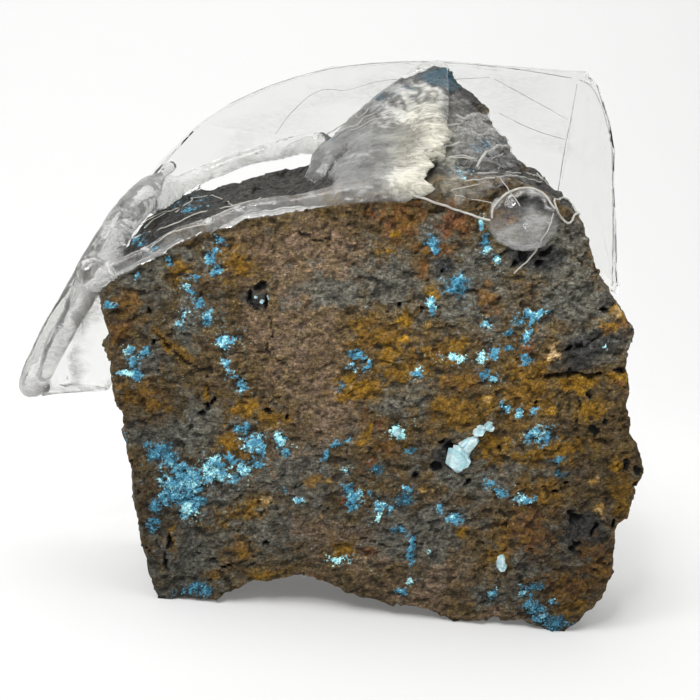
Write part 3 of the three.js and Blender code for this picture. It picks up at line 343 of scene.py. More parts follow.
# Cracks and slots as seen: half width, depth and the points.
CRACKS = (
    (0.28, 0.4, ((-24.5, 38.8), (-21.7, 36.2), (-19.3, 34), (-17.5, 34.1))),
    (0.2, 0.35, ((-18.1, 33.5), (-17.8, 31.1))),
    (0.16, 0.3, ((-10.1, 40.7), (-9.6, 39), (-10.3, 36.6), (-9.6, 35.7), (-8, 34.3))),
    (0.22, 0.4, ((-6.2, 51.4), (-4.6, 50.4), (-2.2, 50.4))),
    (0.35, 0.9, ((24.8, 33.1), (27.8, 33.5), (30, 33.2), (31.5, 33.5))),
    (0.12, 0.25, ((-10, 16.8), (-12, 14.6), (-15, 13))),
    (0.14, 0.25, ((-17.8, 9.2), (-14.6, 8.6), (-12.2, 9.9))),
    (0.15, 0.3, ((1.3, 12), (5, 10.9), (9.3, 11.4))),
    (0.15, 0.3, ((17.5, 15), (19.4, 15.6), (19.9, 13.6))),
    (0.15, 0.3, ((28.7, 31), (29, 28.6), (28.1, 26.6))),
    (0.15, 0.3, ((31.5, 38.5), (29.2, 37), (26.2, 36.4))),
)


def placed(x, y, z):
    """A point of the face frame, in millimetres, as a point of the row frame, in metres."""
    across = x * math.cos(LEAN) - z * math.sin(LEAN)
    up = x * math.sin(LEAN) + z * math.cos(LEAN)
    return Vector((across + SHIFT[0], y + SHIFT[1], up + SHIFT[2])) * MM


def row_points(face):
    """Rows of face-frame points, in millimetres, as row-frame points in metres."""
    across = face[:, 0] * math.cos(LEAN) - face[:, 2] * math.sin(LEAN)
    up = face[:, 0] * math.sin(LEAN) + face[:, 2] * math.cos(LEAN)
    return (np.stack((across, face[:, 1], up), axis=1) + SHIFT) * MM


def face_points(row):
    """Rows of row-frame points, in metres, as face-frame points in millimetres."""
    moved = row / MM - SHIFT
    x = moved[:, 0] * math.cos(LEAN) + moved[:, 2] * math.sin(LEAN)
    z = moved[:, 2] * math.cos(LEAN) - moved[:, 0] * math.sin(LEAN)
    return np.stack((x, moved[:, 1], z), axis=1)


def as_seen(face):
    """Where face-frame points look to be in the plane of the face, as rows of x and z."""
    scale = (FACE_Y - EYE[1]) / (face[:, 1] - EYE[1])
    return np.stack((face[:, 0] * scale, EYE[2] + (face[:, 2] - EYE[2]) * scale), axis=1)


def smoothstep(value, low, high):
    """Runs smoothly from 0 to 1 while value goes from low to high."""
    share = np.clip((value - low) / (high - low), 0, 1)
    return share * share * (3 - 2 * share)


def lattice(cell, seed):
    """A repeatable number from -1 to 1 for each row of whole numbers."""
    c = cell.astype(np.int64).astype(np.uint32)
    h = c[:, 0] * np.uint32(374761393) ^ c[:, 1] * np.uint32(668265263)
    h ^= c[:, 2] * np.uint32(2147483647) ^ np.uint32(seed * 1274126177 % 2**32)
    h = (h ^ (h >> np.uint32(13))) * np.uint32(1103515245)
    h = (h ^ (h >> np.uint32(16))) * np.uint32(2654435769)
    return (h >> np.uint32(8)) / 8388608.0 - 1


def noise(points, size, seed):
    """Smooth noise from -1 to 1 with features of the given size."""
    place = points / size
    cell = np.floor(place)
    part = smoothstep(place - cell, 0, 1)
    total = np.zeros(len(points))
    for corner in range(8):
        step = np.array((corner & 1, corner >> 1 & 1, corner >> 2))
        weight = np.prod(np.where(step, part, 1 - part), axis=1)
        total += weight * lattice(cell + step, seed)
    return total


def fractal(points, size, seed, octaves=4, gain=0.55):
    """Noise at one size and at each half of it, in falling strength, from about -1 to 1."""
    total = np.zeros(len(points))
    for octave in range(octaves):
        total += gain**octave * noise(points, size / 2**octave, seed + octave)
    return total


def chips(points, size, seed):
    """Flat chips, as a hammer leaves them: each cell of space has its own tilted plane."""
    place = points / size
    cell = np.floor(place)
    nearest = np.full(len(points), np.inf)
    height = np.zeros(len(points))
    for n in range(27):
        other = cell + np.array((n % 3, n // 3 % 3, n // 9)) - 1
        centre = other + 0.5 + 0.5 * np.stack([lattice(other, seed + axis) for axis in range(3)], axis=1)
        offset = place - centre
        distance = np.sum(offset**2, axis=1)
        tilt = np.stack([lattice(other, seed + axis) for axis in (3, 4, 5)], axis=1)
        plane = 0.5 * lattice(other, seed + 6) + 0.8 * np.sum(offset * tilt, axis=1)
        height = np.where(distance < nearest, plane, height)
        nearest = np.minimum(nearest, distance)
    return np.clip(height, -1, 1)


def nearness(seen, patches):
    """How near each point is to its nearest patch, 1 in its middle and 0.5 on its rim, and that
    patch's last value."""
    best = np.zeros(len(seen))
    last = np.zeros(len(seen))
    for x, z, wide, high, turn, *own in patches:
        c, s = math.cos(math.radians(turn)), math.sin(math.radians(turn))
        dx, dz = seen[:, 0] - x, seen[:, 1] - z
        across, up = (dx * c + dz * s) / wide, (dz * c - dx * s) / high
        near = 1 / (1 + across**2 + up**2)
        last = np.where(near > best, own[0] if own else 0, last)
        best = np.maximum(best, near)
    return best, last


def line_distance(seen, line):
    """Distance of each point from a line of [x, z] points."""
    best = np.full(len(seen), np.inf)
    for a, b in zip(line, line[1:]):
        start, way = np.array(a), np.array(b) - np.array(a)
        share = np.clip((seen - start) @ way / (way @ way), 0, 1)
        best = np.minimum(best, np.linalg.norm(seen - start - share[:, None] * way, axis=1))
    return best


# Meshes


def merged_copy(node, name):
    """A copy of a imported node's mesh with its loose triangles merged, as a new object."""
    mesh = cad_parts[node].data.copy()
    mesh.name = name
    mesh.materials.clear()
    bm = bmesh.new()
    bm.from_mesh(mesh)
    bmesh.ops.remove_doubles(bm, verts=bm.verts, dist=1e-7)
    bm.to_mesh(mesh)
    bm.free()
    return linked(name, mesh)


def linked(name, mesh):
    piece = bpy.data.objects.new(name, mesh)
    bpy.context.scene.collection.objects.link(piece)
    return piece


def baked(piece):
    """Turns what the piece's modifiers make of it into its own plain mesh."""
    graph = bpy.context.evaluated_depsgraph_get()
    mesh = bpy.data.meshes.new_from_object(piece.evaluated_get(graph))
    old = piece.data
    piece.modifiers.clear()
    if piece.type == "MESH":
        piece.data = mesh
        bpy.data.meshes.remove(old)
        return piece
    plain = linked(piece.name + "_mesh", mesh)
    bpy.data.objects.remove(piece)
    plain.name = plain.name.removesuffix("_mesh")
    return plain


def remeshed(piece, voxel):
    """The piece with an even mesh of that spacing."""
    modifier = piece.modifiers.new("Even mesh", "REMESH")
    modifier.mode = "VOXEL"
    modifier.voxel_size = voxel
    return baked(piece)


def softened(piece, rounds):
    """The piece with its mesh smoothed so many times."""
    soften = piece.modifiers.new("Soften", "SMOOTH")
    soften.factor, soften.iterations = 0.5, rounds
    return baked(piece)


def read_points(mesh):
    points = np.zeros(len(mesh.vertices) * 3)
    mesh.vertices.foreach_get("co", points)
    return points.reshape(-1, 3)


def read_normals(mesh):
    normals = np.zeros(len(mesh.vertices) * 3)
    mesh.vertex_normals.foreach_get("vector", normals)
    return normals.reshape(-1, 3)


def write_points(mesh, points):
    mesh.vertices.foreach_set("co", points.ravel())
    mesh.update()


def paint(mesh, name, values):
    """Marks each point of the mesh with its value."""
    layer = mesh.attributes.new(name, "FLOAT", "POINT")
    layer.data.foreach_set("value", values.astype(np.float32))


def tree_of(*pieces):
    """A search tree of the faces of mesh objects, in the row frame."""
    bm = bmesh.new()
    for piece in pieces:
        bm.from_mesh(piece.data)
    tree = BVHTree.FromBMesh(bm)
    bm.free()
    return tree


def shade_smooth(mesh, smooth=True):
    mesh.polygons.foreach_set("use_smooth", [smooth] * len(mesh.polygons))


def finish_piece(piece, slot, *nodes):
    """Puts the piece on the root body and hides the imported nodes that it stands for. The slot is not
    used.
    """
    if nodes:
        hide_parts(*nodes)
    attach(piece, "root")


# Materials


class Graph:
    """Adds nodes to a node tree. An input takes a plain value or another node's output."""

    def __init__(self, tree):
        self.tree = tree

    def add(self, kind, inputs=None, **settings):
        node = self.tree.nodes.new(kind)
        for name, value in settings.items():
            setattr(node, name, value)
        for key, value in (inputs or {}).items():
            if isinstance(value, bpy.types.NodeSocket):
                self.tree.links.new(value, node.inputs[key])
            else:
                node.inputs[key].default_value = value
        return node

    def math(self, operation, first, second=0.0, third=0.0):
        node = self.add("ShaderNodeMath", {0: first, 1: second, 2: third}, operation=operation)
        return node.outputs[0]

    def mix(self, share, first, second, blend="MIX"):
        """Mixes two colours."""
        inputs = {0: share, 6: first, 7: second}
        return self.add("ShaderNodeMix", inputs, data_type="RGBA", blend_type=blend).outputs[2]

    def ramp(self, value, low, high, first=0.0, second=1.0):
        """Runs smoothly from first to second while value goes from low to high."""
        inputs = {0: value, 1: low, 2: high, 3: first, 4: second}
        return self.add("ShaderNodeMapRange", inputs, interpolation_type="SMOOTHSTEP").outputs[0]

    def noise(self, where, size, detail=3.0, rough=0.6, distortion=0.0):
        """Noise from 0 to 1 with features of that size in millimetres."""
        inputs = {
            "Vector": where, "Scale": 1 / size, "Detail": detail, "Roughness": rough,
            "Distortion": distortion,
        }
        return self.add("ShaderNodeTexNoise", inputs).outputs["Fac"]

    def attribute(self, name):
        return self.add("ShaderNodeAttribute", attribute_name=name).outputs["Fac"]

    def millimetres(self):
        """The place on the object, in millimetres."""
        place = self.add("ShaderNodeTexCoord").outputs["Object"]
        inputs = {0: place, "Scale": 1000.0}
        return self.add("ShaderNodeVectorMath", inputs, operation="SCALE").outputs[0]

    def stretched(self, where, turn, scale):
        """A place turned by so many degrees about Y and scaled, for a pattern with a grain."""
        inputs = {"Vector": where, "Rotation": (0, math.radians(turn), 0), "Scale": scale}
        return self.add("ShaderNodeMapping", inputs).outputs[0]

    def bump(self, height, strength, depth):
        """The normal of a surface with that relief, up to so many millimetres deep."""
        inputs = {"Height": height, "Strength": strength, "Distance": depth * MM}
        return self.add("ShaderNodeBump", inputs).outputs[0]


def rgba(colour):
    return (*colour, 1.0)


def new_material(name):
    """An empty material and its graph."""
    material = bpy.data.materials.new(name)
    material.use_nodes = True
    material.node_tree.nodes.clear()
    return material, Graph(material.node_tree)


def close_material(graph, shader):
    graph.add("ShaderNodeOutputMaterial", {"Surface": shader})


def grit_group():
    """Mineral grain: light and dark specks and their height, from a place and a grain size."""
    name = "Mineral grit"
    if name in bpy.data.node_groups:
        return bpy.data.node_groups[name]
    tree = bpy.data.node_groups.new(name, "ShaderNodeTree")
    tree.interface.new_socket("Place", in_out="INPUT", socket_type="NodeSocketVector")
    fine = tree.interface.new_socket("Fineness", in_out="INPUT", socket_type="NodeSocketFloat")
    fine.default_value = 3.0
    tree.interface.new_socket("Light", in_out="OUTPUT", socket_type="NodeSocketFloat")
    tree.interface.new_socket("Height", in_out="OUTPUT", socket_type="NodeSocketFloat")
    graph = Graph(tree)
    source = graph.add("NodeGroupInput")
    place, fineness = source.outputs["Place"], source.outputs["Fineness"]
    specks = graph.add("ShaderNodeTexNoise", {
        "Vector": place, "Scale": fineness, "Detail": 4.0, "Roughness": 0.75, "Distortion": 0.4,
    }).outputs["Fac"]
    grains = graph.add("ShaderNodeTexVoronoi", {"Vector": place, "Scale": fineness})
    tone = graph.add("ShaderNodeSeparateColor", {"Color": grains.outputs["Color"]}).outputs["Red"]
    speckled = graph.ramp(specks, 0.3, 0.7, 0.45, 1.55)
    grained = graph.ramp(tone, 0.0, 1.0, 0.75, 1.25)
    rounded = graph.math("SUBTRACT", 1.0, grains.outputs["Distance"])
    graph.add("NodeGroupOutput", {
        "Light": graph.math("MULTIPLY", speckled, grained),
        "Height": graph.math("MULTIPLY_ADD", rounded, 0.5, specks),
    })
    return tree


def ragged_group():
    """Turns the soft share painted on the mesh into a ragged, sharp-edged mask."""
    name = "Ragged edge"
    if name in bpy.data.node_groups:
        return bpy.data.node_groups[name]
    tree = bpy.data.node_groups.new(name, "ShaderNodeTree")
    tree.interface.new_socket("Place", in_out="INPUT", socket_type="NodeSocketVector")
    for socket, value in (("Share", 0.0), ("Fineness", 1.5), ("Raggedness", 0.5), ("Softness", 0.08)):
        made = tree.interface.new_socket(socket, in_out="INPUT", socket_type="NodeSocketFloat")
        made.default_value = value
    tree.interface.new_socket("Mask", in_out="OUTPUT", socket_type="NodeSocketFloat")
    graph = Graph(tree)
    source = graph.add("NodeGroupInput").outputs
    ragged = graph.add("ShaderNodeTexNoise", {
        "Vector": source["Place"], "Scale": source["Fineness"], "Detail": 5.0, "Roughness": 0.7,
    }).outputs["Fac"]
    wander = graph.math("MULTIPLY", graph.math("SUBTRACT", ragged, 0.5), source["Raggedness"])
    total = graph.math("ADD", source["Share"], wander)
    low = graph.math("SUBTRACT", 0.5, source["Softness"])
    high = graph.math("ADD", 0.5, source["Softness"])
    graph.add("NodeGroupOutput", {"Mask": graph.ramp(total, low, high)})
    return tree


def grit_of(graph, where, fineness):
    """The outputs of a Mineral grit group."""
    inputs = {"Place": where, "Fineness": fineness}
    return graph.add("ShaderNodeGroup", inputs, node_tree=grit_group()).outputs


def ragged(graph, where, share, fineness, raggedness, softness):
    """The mask of a Ragged edge group."""
    inputs = {
        "Place": where, "Share": share, "Fineness": fineness, "Raggedness": raggedness,
        "Softness": softness,
    }
    return graph.add("ShaderNodeGroup", inputs, node_tree=ragged_group()).outputs["Mask"]


def crust_colour(graph, where, tint, look):
    """Deep to pale blue, by the tint painted on the mesh and the grain of the crust."""
    patchy = graph.noise(where, 0.9, 5.0, 0.8, 0.8)
    level = graph.math("ADD", tint, graph.math("MULTIPLY_ADD", patchy, 3.8, -1.9))
    blue = graph.mix(graph.ramp(level, 0.0, 0.45), rgba(look.deep), rgba(look.bright))
    return graph.mix(graph.ramp(level, 0.6, 1.15), blue, rgba(look.pale))


def rock_material(rock, crust):
    """Brown and grey rock with iron stains, blue crusts and pits, from the mesh's marks, and painted
    shade: dark lines for the shadows of small ridges, black in pits, holes and cracks, shade in hollows
    with light on ridges, slate on the top and a broad shade toward the foot.
    """
    material, graph = new_material("Iron-stained rock")
    where = graph.millimetres()
    broad = graph.noise(where, 5.0, 4.0, 0.65)
    fine = graph.noise(where, 1.2, 4.0, 0.7)
    grey = ragged(graph, where, graph.attribute("grey"), 0.5, 2.4, 0.3)
    mauve = ragged(graph, where, graph.attribute("mauve"), 0.3, 2.0, 0.35)
    base = graph.mix(graph.ramp(broad, 0.35, 0.65), rgba(rock.brown), rgba(rock.umber))
    base = graph.mix(mauve, base, rgba(rock.mauve))
    cast = graph.ramp(graph.noise(where, 2.4, 4.0, 0.7), 0.4, 0.6)
    hue = graph.mix(cast, rgba(rock.plum), rgba(rock.olive))
    base = graph.mix(1.0, base, hue, "MULTIPLY")
    base = graph.mix(grey, base, rgba(rock.grey))
    base = graph.mix(graph.attribute("dark"), base, rgba(rock.slate))
    stretched = graph.stretched(where, 14, (0.45, 1.0, 2.2))
    bands = graph.ramp(graph.noise(stretched, 1.0, 5.0, 0.75, 1.2), 0.35, 0.65, 0.68, 1.28)
    base = graph.mix(1.0, base, bands, "MULTIPLY")
    # Thin dark lines: painted shadows of small ridges.
    wiggle = graph.math("SUBTRACT", graph.noise(stretched, 0.8, 3.0, 0.6, 2.2), 0.5)
    lines = graph.ramp(graph.math("ABSOLUTE", wiggle), 0.0, 0.035, 0.45, 1.08)
    lines = graph.math("MAXIMUM", lines, graph.ramp(fine, 0.53, 0.6, 0.0, 1.0))
    base = graph.mix(1.0, base, lines, "MULTIPLY")
    wash = graph.math("MULTIPLY", graph.ramp(graph.attribute("ochre"), 0.06, 0.5), 0.68)
    thin = graph.ramp(graph.attribute("ochre_tint"), 0.15, 0.45)
    thin = graph.mix(thin, rgba(rock.umber), rgba(rock.wash))
    base = graph.mix(wash, base, graph.mix(1.0, thin, bands, "MULTIPLY"))
    stain = ragged(graph, where, graph.attribute("ochre"), 1.1, 2.0, 0.3)
    grain = graph.math("MULTIPLY_ADD", fine, 0.7, -0.35)
    tint = graph.math("ADD", graph.attribute("ochre_tint"), grain)
    rust = graph.mix(graph.ramp(tint, 0.0, 0.35), rgba(rock.rust), rgba(rock.ochre))
    rust = graph.mix(graph.ramp(tint, 0.58, 0.95), rust, rgba(rock.yellow))
    rust = graph.mix(graph.ramp(tint, 0.85, 1.1), rust, rgba(rock.cream))
    strength = graph.ramp(tint, 0.2, 0.6, 0.55, 0.85)
    base = graph.mix(graph.math("MULTIPLY", stain, strength), base, rust)
    specks = grit_of(graph, where, 2.6)
    blue = ragged(graph, where, graph.attribute("blue"), 2.6, 2.4, 0.16)
    coarse = graph.ramp(graph.noise(stretched, 0.5, 4.0, 0.7, 2.0), 0.36, 0.62, 0.78, 1.2)
    base = graph.mix(1.0, base, graph.math("MULTIPLY", specks["Light"], coarse), "MULTIPLY")
    crusted = crust_colour(graph, where, graph.attribute("blue_tint"), crust)
    crusted = graph.mix(0.55, crusted, graph.mix(1.0, crusted, specks["Light"], "MULTIPLY"))
    base = graph.mix(blue, base, crusted)
    # Painted shade in the hollows and painted light on the ridges.
    relief_shade = graph.ramp(graph.attribute("hollow"), 0.35, 0.9, 1.2, 0.34)
    # The painted broad shade darkens the colour further.
    base = graph.mix(1.0, base, graph.math("MULTIPLY", relief_shade, graph.attribute("shade")), "MULTIPLY")
    # Painted shade: black in the pits and cracks, and in small holes scattered by noise.
    hole_shade = graph.ramp(graph.noise(where, 0.9, 3.0, 0.7), 0.27, 0.36, 1.0, 0.0)
    pits = ragged(graph, where, graph.attribute("pit"), 1.6, 1.6, 0.1)
    pits = graph.math("MAXIMUM", pits, graph.math("MULTIPLY", hole_shade, 0.8))
    base = graph.mix(graph.math("MULTIPLY", pits, 0.93), base, rgba(rock.pit))
    rough = graph.ramp(fine, 0.3, 0.7, rock.rough_low, 0.92)
    bump = graph.bump(specks["Height"], 0.6, 0.12)
    close_material(graph, graph.add("ShaderNodeBsdfPrincipled", {
        "Base Color": base, "Roughness": rough, "Normal": bump, "IOR": 1.3,
    }).outputs[0])
    return material


def crust_material(crust):
    """The loose grains of the blue crusts."""
    material, graph = new_material("Shattuckite crust")
    where = graph.millimetres()
    colour = crust_colour(graph, where, graph.attribute("blue_tint"), crust)
    specks = grit_of(graph, where, 5.0)
    colour = graph.mix(0.5, colour, graph.mix(1.0, colour, specks["Light"], "MULTIPLY"))
    bump = graph.bump(specks["Height"], 0.4, 0.05)
    close_material(graph, graph.add("ShaderNodeBsdfPrincipled", {
        "Base Color": colour, "Roughness": 0.55, "Normal": bump,
    }).outputs[0])
    return material


def crystal_material(crystal):
    """Pale turquoise, clouded with white."""
    material, graph = new_material("Pale crystal")
    where = graph.millimetres()
    cloudy = graph.ramp(graph.noise(where, 1.1, 4.0, 0.6), 0.35, 0.7)
    colour = graph.mix(cloudy, rgba(crystal.colour), rgba(crystal.cloud))
    specks = grit_of(graph, where, 4.0)
    colour = graph.mix(0.25, colour, graph.mix(1.0, colour, specks["Light"], "MULTIPLY"))
    rough = graph.ramp(cloudy, 0.0, 1.0, 0.3, 0.6)
    bump = graph.bump(specks["Height"], 0.2, 0.05)
    close_material(graph, graph.add("ShaderNodeBsdfPrincipled", {
        "Base Color": colour, "Roughness": rough, "Normal": bump,
        "Subsurface Weight": 0.25, "Subsurface Scale": 1.0 * MM,
    }).outputs[0])
    return material


def clear_material(name, look, size, strength):
    """Clear glue or plastic: plain transmission, with soft ripples of that size in its surface."""
    material, graph = new_material(name)
    where = graph.millimetres()
    ripple = graph.noise(where, size, 3.0, 0.5)
    worn = graph.noise(where, 2.5 * size, 3.0, 0.6)
    dull = graph.ramp(worn, 0.4, 0.7, look.roughness, 2.5 * look.roughness + 0.02)
    bump = graph.bump(ripple, strength, 0.2)
    glass = graph.add("ShaderNodeBsdfPrincipled", {
        "Base Color": rgba(look.colour), "Roughness": dull, "IOR": look.index, "Transmission Weight": 1.0,
        "Normal": bump,
    }).outputs[0]
    dimmed = rgba([0.9 * c for c in look.colour])
    shadow = graph.add("ShaderNodeBsdfTransparent", {"Color": dimmed}).outputs[0]
    ray = graph.add("ShaderNodeLightPath").outputs["Is Shadow Ray"]
    close_material(graph, graph.add("ShaderNodeMixShader", {0: ray, 1: glass, 2: shadow}).outputs[0])
    return material


def milk_material(haze):
    """The milky skin of the glue and the tray, and the painted highlights on the glue: its alpha follows
    the mark on the mesh.
    """
    if "Milky glue" in bpy.data.materials:
        return bpy.data.materials["Milky glue"]
    material, graph = new_material("Milky glue")
    where = graph.millimetres()
    fibres = graph.stretched(where, 8, (0.45, 1.0, 1.3))
    swirl = graph.noise(fibres, 1.0, 4.0, 0.6, 2.0)
    share = graph.math("MULTIPLY", graph.attribute("milk"), graph.ramp(swirl, 0.4, 0.62, 0.75, 1.45))
    warm = graph.mix(graph.attribute("warm"), rgba(haze.colour), rgba(haze.warm))
    alpha = graph.math("MINIMUM", share, 1.0)
    bump = graph.bump(swirl, 0.3, 0.2)
    close_material(graph, graph.add("ShaderNodeBsdfPrincipled", {
        "Base Color": warm, "Roughness": 0.16, "Alpha": alpha, "Normal": bump,
    }).outputs[0])
    return material


# Rock


def facing_eye(points, normals):
    """1 where the surface faces the eye, 0 where it faces away."""
    to_eye = np.array(EYE) - points
    to_eye /= np.linalg.norm(to_eye, axis=1)[:, None]
    return smoothstep(np.sum(to_eye * normals, axis=1), 0.05, 0.3)


def turned_normals(mesh):
    """The mesh's normals in the face frame."""
    normals = read_normals(mesh)
    c, s = math.cos(LEAN), math.sin(LEAN)
    x = normals[:, 0] * c + normals[:, 2] * s
    z = normals[:, 2] * c - normals[:, 0] * s
    return np.stack((x, normals[:, 1], z), axis=1)


def refine_seen_side(mesh):
    """Cuts the faces that the eye sees in four, so that the front holds finer relief."""
    points = face_points(read_points(mesh))
    seen = facing_eye(points, turned_normals(mesh)) > 0.4
    bm = bmesh.new()
    bm.from_mesh(mesh)
    edges = [e for e in bm.edges if all(seen[v.index] for v in e.verts)]
    bmesh.ops.subdivide_edges(bm, edges=edges, cuts=1, use_grid_fill=True)
    bmesh.ops.triangulate(bm, faces=[f for f in bm.faces if len(f.verts) > 4])
    bm.to_mesh(mesh)
    bm.free()


def rock_marks(points, normals):
    """The stains, crusts, pits and painted shade of each point of the rock, from 0 to 1."""
    shown = facing_eye(points, normals)
    wander = np.stack([0.45 * fractal(points, 1.8, seed, 3) for seed in (61, 67)], axis=1)
    seen = as_seen(points) + wander
    marks = {}
    for name, patches in (("blue", BLUE), ("ochre", OCHRE)):
        near, tint = nearness(seen, patches)
        unseen = 0.5 * smoothstep(noise(points, 6, 71 + len(name)), 0.45, 0.9)
        torn = 0.34 * fractal(points, 1.0, 77 + len(name), 3, 0.8) * smoothstep(near, 0.1, 0.4)
        marks[name] = np.clip(shown * (near + torn) + (1 - shown) * unseen, 0, 1)
        marks[name + "_tint"] = shown * tint + (1 - shown) * 0.3
    plain_marks = (("pit", PITS, 0), ("dark", DARK, 0.1), ("grey", GREY, 0.45), ("mauve", MAUVE, 0.3))
    for name, patches, unseen in plain_marks:
        marks[name] = shown * nearness(seen, patches)[0] + (1 - shown) * unseen
    # Painted shade: the up-facing top behind the face takes the slate colour.
    slope = smoothstep(normals[:, 2], 0.35, 0.7) * smoothstep(points[:, 1], -12.5, -10)
    marks["dark"] = np.clip(smoothstep(marks["dark"], 0.35, 0.7) + 0.95 * slope, 0, 1)
    return marks


def mineral_face(points, normals):
    """1 on the mineral face, 0 on the broken sides and the back."""
    return smoothstep(-normals[:, 1], 0.75, 0.92) * smoothstep(-points[:, 1], 9, 11)


def relief(points, on_face, marks, rock):
    """How far each point of the rock stands out of the plain slab, in millimetres."""
    warped = points + np.stack([1.1 * noise(points, 3.5, seed) for seed in (83, 85, 87)], axis=1)
    out = (1 - on_face) * rock.chip_depth / MM * chips(points, 2.6, 81)
    calm = 1 - 0.5 * smoothstep(marks["mauve"], 0.3, 0.7)
    out += on_face * calm * 0.27 * chips(warped * (0.65, 1, 1.3), 1.5, 91)
    out += rock.grain_depth / MM * fractal(points * (0.8, 1, 1.2), 1.1, 101, 4, 0.7)
    out += 0.26 * calm * on_face * (0.5 - np.abs(fractal(warped * (0.75, 1, 1.1), 2.4, 106, 3, 0.6)))
    blocky = smoothstep(as_seen(points)[:, 0], 10, 24) * on_face
    out += 0.25 * blocky * chips(points, 2.2, 111)
    out -= 0.9 * smoothstep(marks["pit"], 0.35, 0.8)
    out += 0.16 * smoothstep(marks["blue"], 0.4, 0.8) * on_face * (1 + 0.7 * noise(points, 0.55, 121))
    return out


def cracks(points, on_face):
    """How deep the cracks are at each point, in millimetres, and how strongly painted shade darkens them,
    from 0 to 1.
    """
    wander = np.stack([0.3 * fractal(points, 1.2, seed, 3) for seed in (131, 137)], axis=1)
    seen = as_seen(points) + wander
    deep = np.zeros(len(points))
    dark = np.zeros(len(points))
    for half_width, depth, line in CRACKS:
        aside = line_distance(seen, line)
        near = on_face * (1 - smoothstep(aside, 0.2 * half_width, 1.2 * half_width))
        deep += depth * near
        dark = np.maximum(dark, 0.52 * near)
    return deep, dark


def painted_broad_shade(points):
    """Painted broad shade: the slab darker near its foot, low on the right and along its left edge."""
    tone = 0.72 + 0.38 * smoothstep(points[:, 2] + 6 * noise(points, 14, 141), 8, 44)
    low_right = smoothstep(points[:, 0], 16, 30) * (1 - smoothstep(points[:, 2], 26, 40))
    left = smoothstep(-points[:, 0], 12, 26)
    return tone * (1 - 0.22 * low_right) * (1 - 0.3 * left)


def hollowness(mesh, out):
    """How far each point lies below the points round it, in millimetres; it sets the painted shade in
    hollows and the painted light on ridges.
    """
    edges = np.zeros(len(mesh.edges) * 2, dtype=np.int64)
    mesh.edges.foreach_get("vertices", edges)
    a, b = edges.reshape(-1, 2).T
    count = np.bincount(edges, minlength=len(out))
    level = out
    for _ in range(6):
        level = (np.bincount(a, level[b], len(out)) + np.bincount(b, level[a], len(out))) / count
    return level - out


def make_stone(settings):
    """The rock, with its relief in its mesh and its colours and painted shade as marks on its points."""
    rock = settings.rock
    stone = remeshed(merged_copy("stone", "rock"), rock.mesh_size)
    mesh = stone.data
    refine_seen_side(mesh)
    points, normals = face_points(read_points(mesh)), turned_normals(mesh)
    marks = rock_marks(points, normals)
    on_face = mineral_face(points, normals)
    deep, dark = cracks(points, on_face)
    out = relief(points, on_face, marks, rock) - deep
    # The cracks take the black of the pits as painted shade.
    marks["pit"] = np.maximum(marks["pit"], dark)
    # Painted shade in the hollows and painted light on the ridges, from how far each point lies below its
    # neighbours.
    marks["hollow"] = np.clip(0.5 + 2.2 * hollowness(mesh, out), 0, 1)
    # Painted shade, darker toward the foot, low on the right and along the left edge.
    marks["shade"] = painted_broad_shade(points)
    grounded = read_points(mesh)[:, 2] < 0.1 * MM
    moved = row_points(points + normals * np.where(grounded, 0, out)[:, None])
    moved[:, 2] = np.maximum(moved[:, 2], 0)
    write_points(mesh, moved)
    for name, values in marks.items():
        paint(mesh, name, values)
    shade_smooth(mesh, smooth=False)
    mesh.materials.append(rock_material(rock, settings.crust))
    finish_piece(stone, "rock", "stone")


# Geometry Nodes


def new_tree(name, inputs):
    """A geometry tree with those float inputs, and its graph and input node's outputs."""
    tree = bpy.data.node_groups.new(name, "GeometryNodeTree")
    tree.interface.new_socket("Geometry", in_out="INPUT", socket_type="NodeSocketGeometry")
    for label in inputs:
        tree.interface.new_socket(label, in_out="INPUT", socket_type="NodeSocketFloat")
    tree.interface.new_socket("Geometry", in_out="OUTPUT", socket_type="NodeSocketGeometry")
    graph = Graph(tree)
    return tree, graph, graph.add("NodeGroupInput").outputs


def close_tree(graph, geometry, material):
    """Ends a geometry tree with real geometry in that material."""
    plain = graph.add("GeometryNodeRealizeInstances", {"Geometry": geometry}).outputs[0]
    made = graph.add("GeometryNodeSetMaterial", {"Geometry": plain, "Material": material}).outputs[0]
    graph.add("NodeGroupOutput", {"Geometry": made})


def run_tree(piece, tree, values):
    """Puts the tree on the piece with its inputs set, and keeps the mesh that it makes."""
    modifier = piece.modifiers.new(tree.name, "NODES")
    modifier.node_group = tree
    for item in tree.interface.items_tree:
        if item.in_out == "INPUT" and item.name in values:
            modifier[item.identifier] = values[item.name]
    return baked(piece)


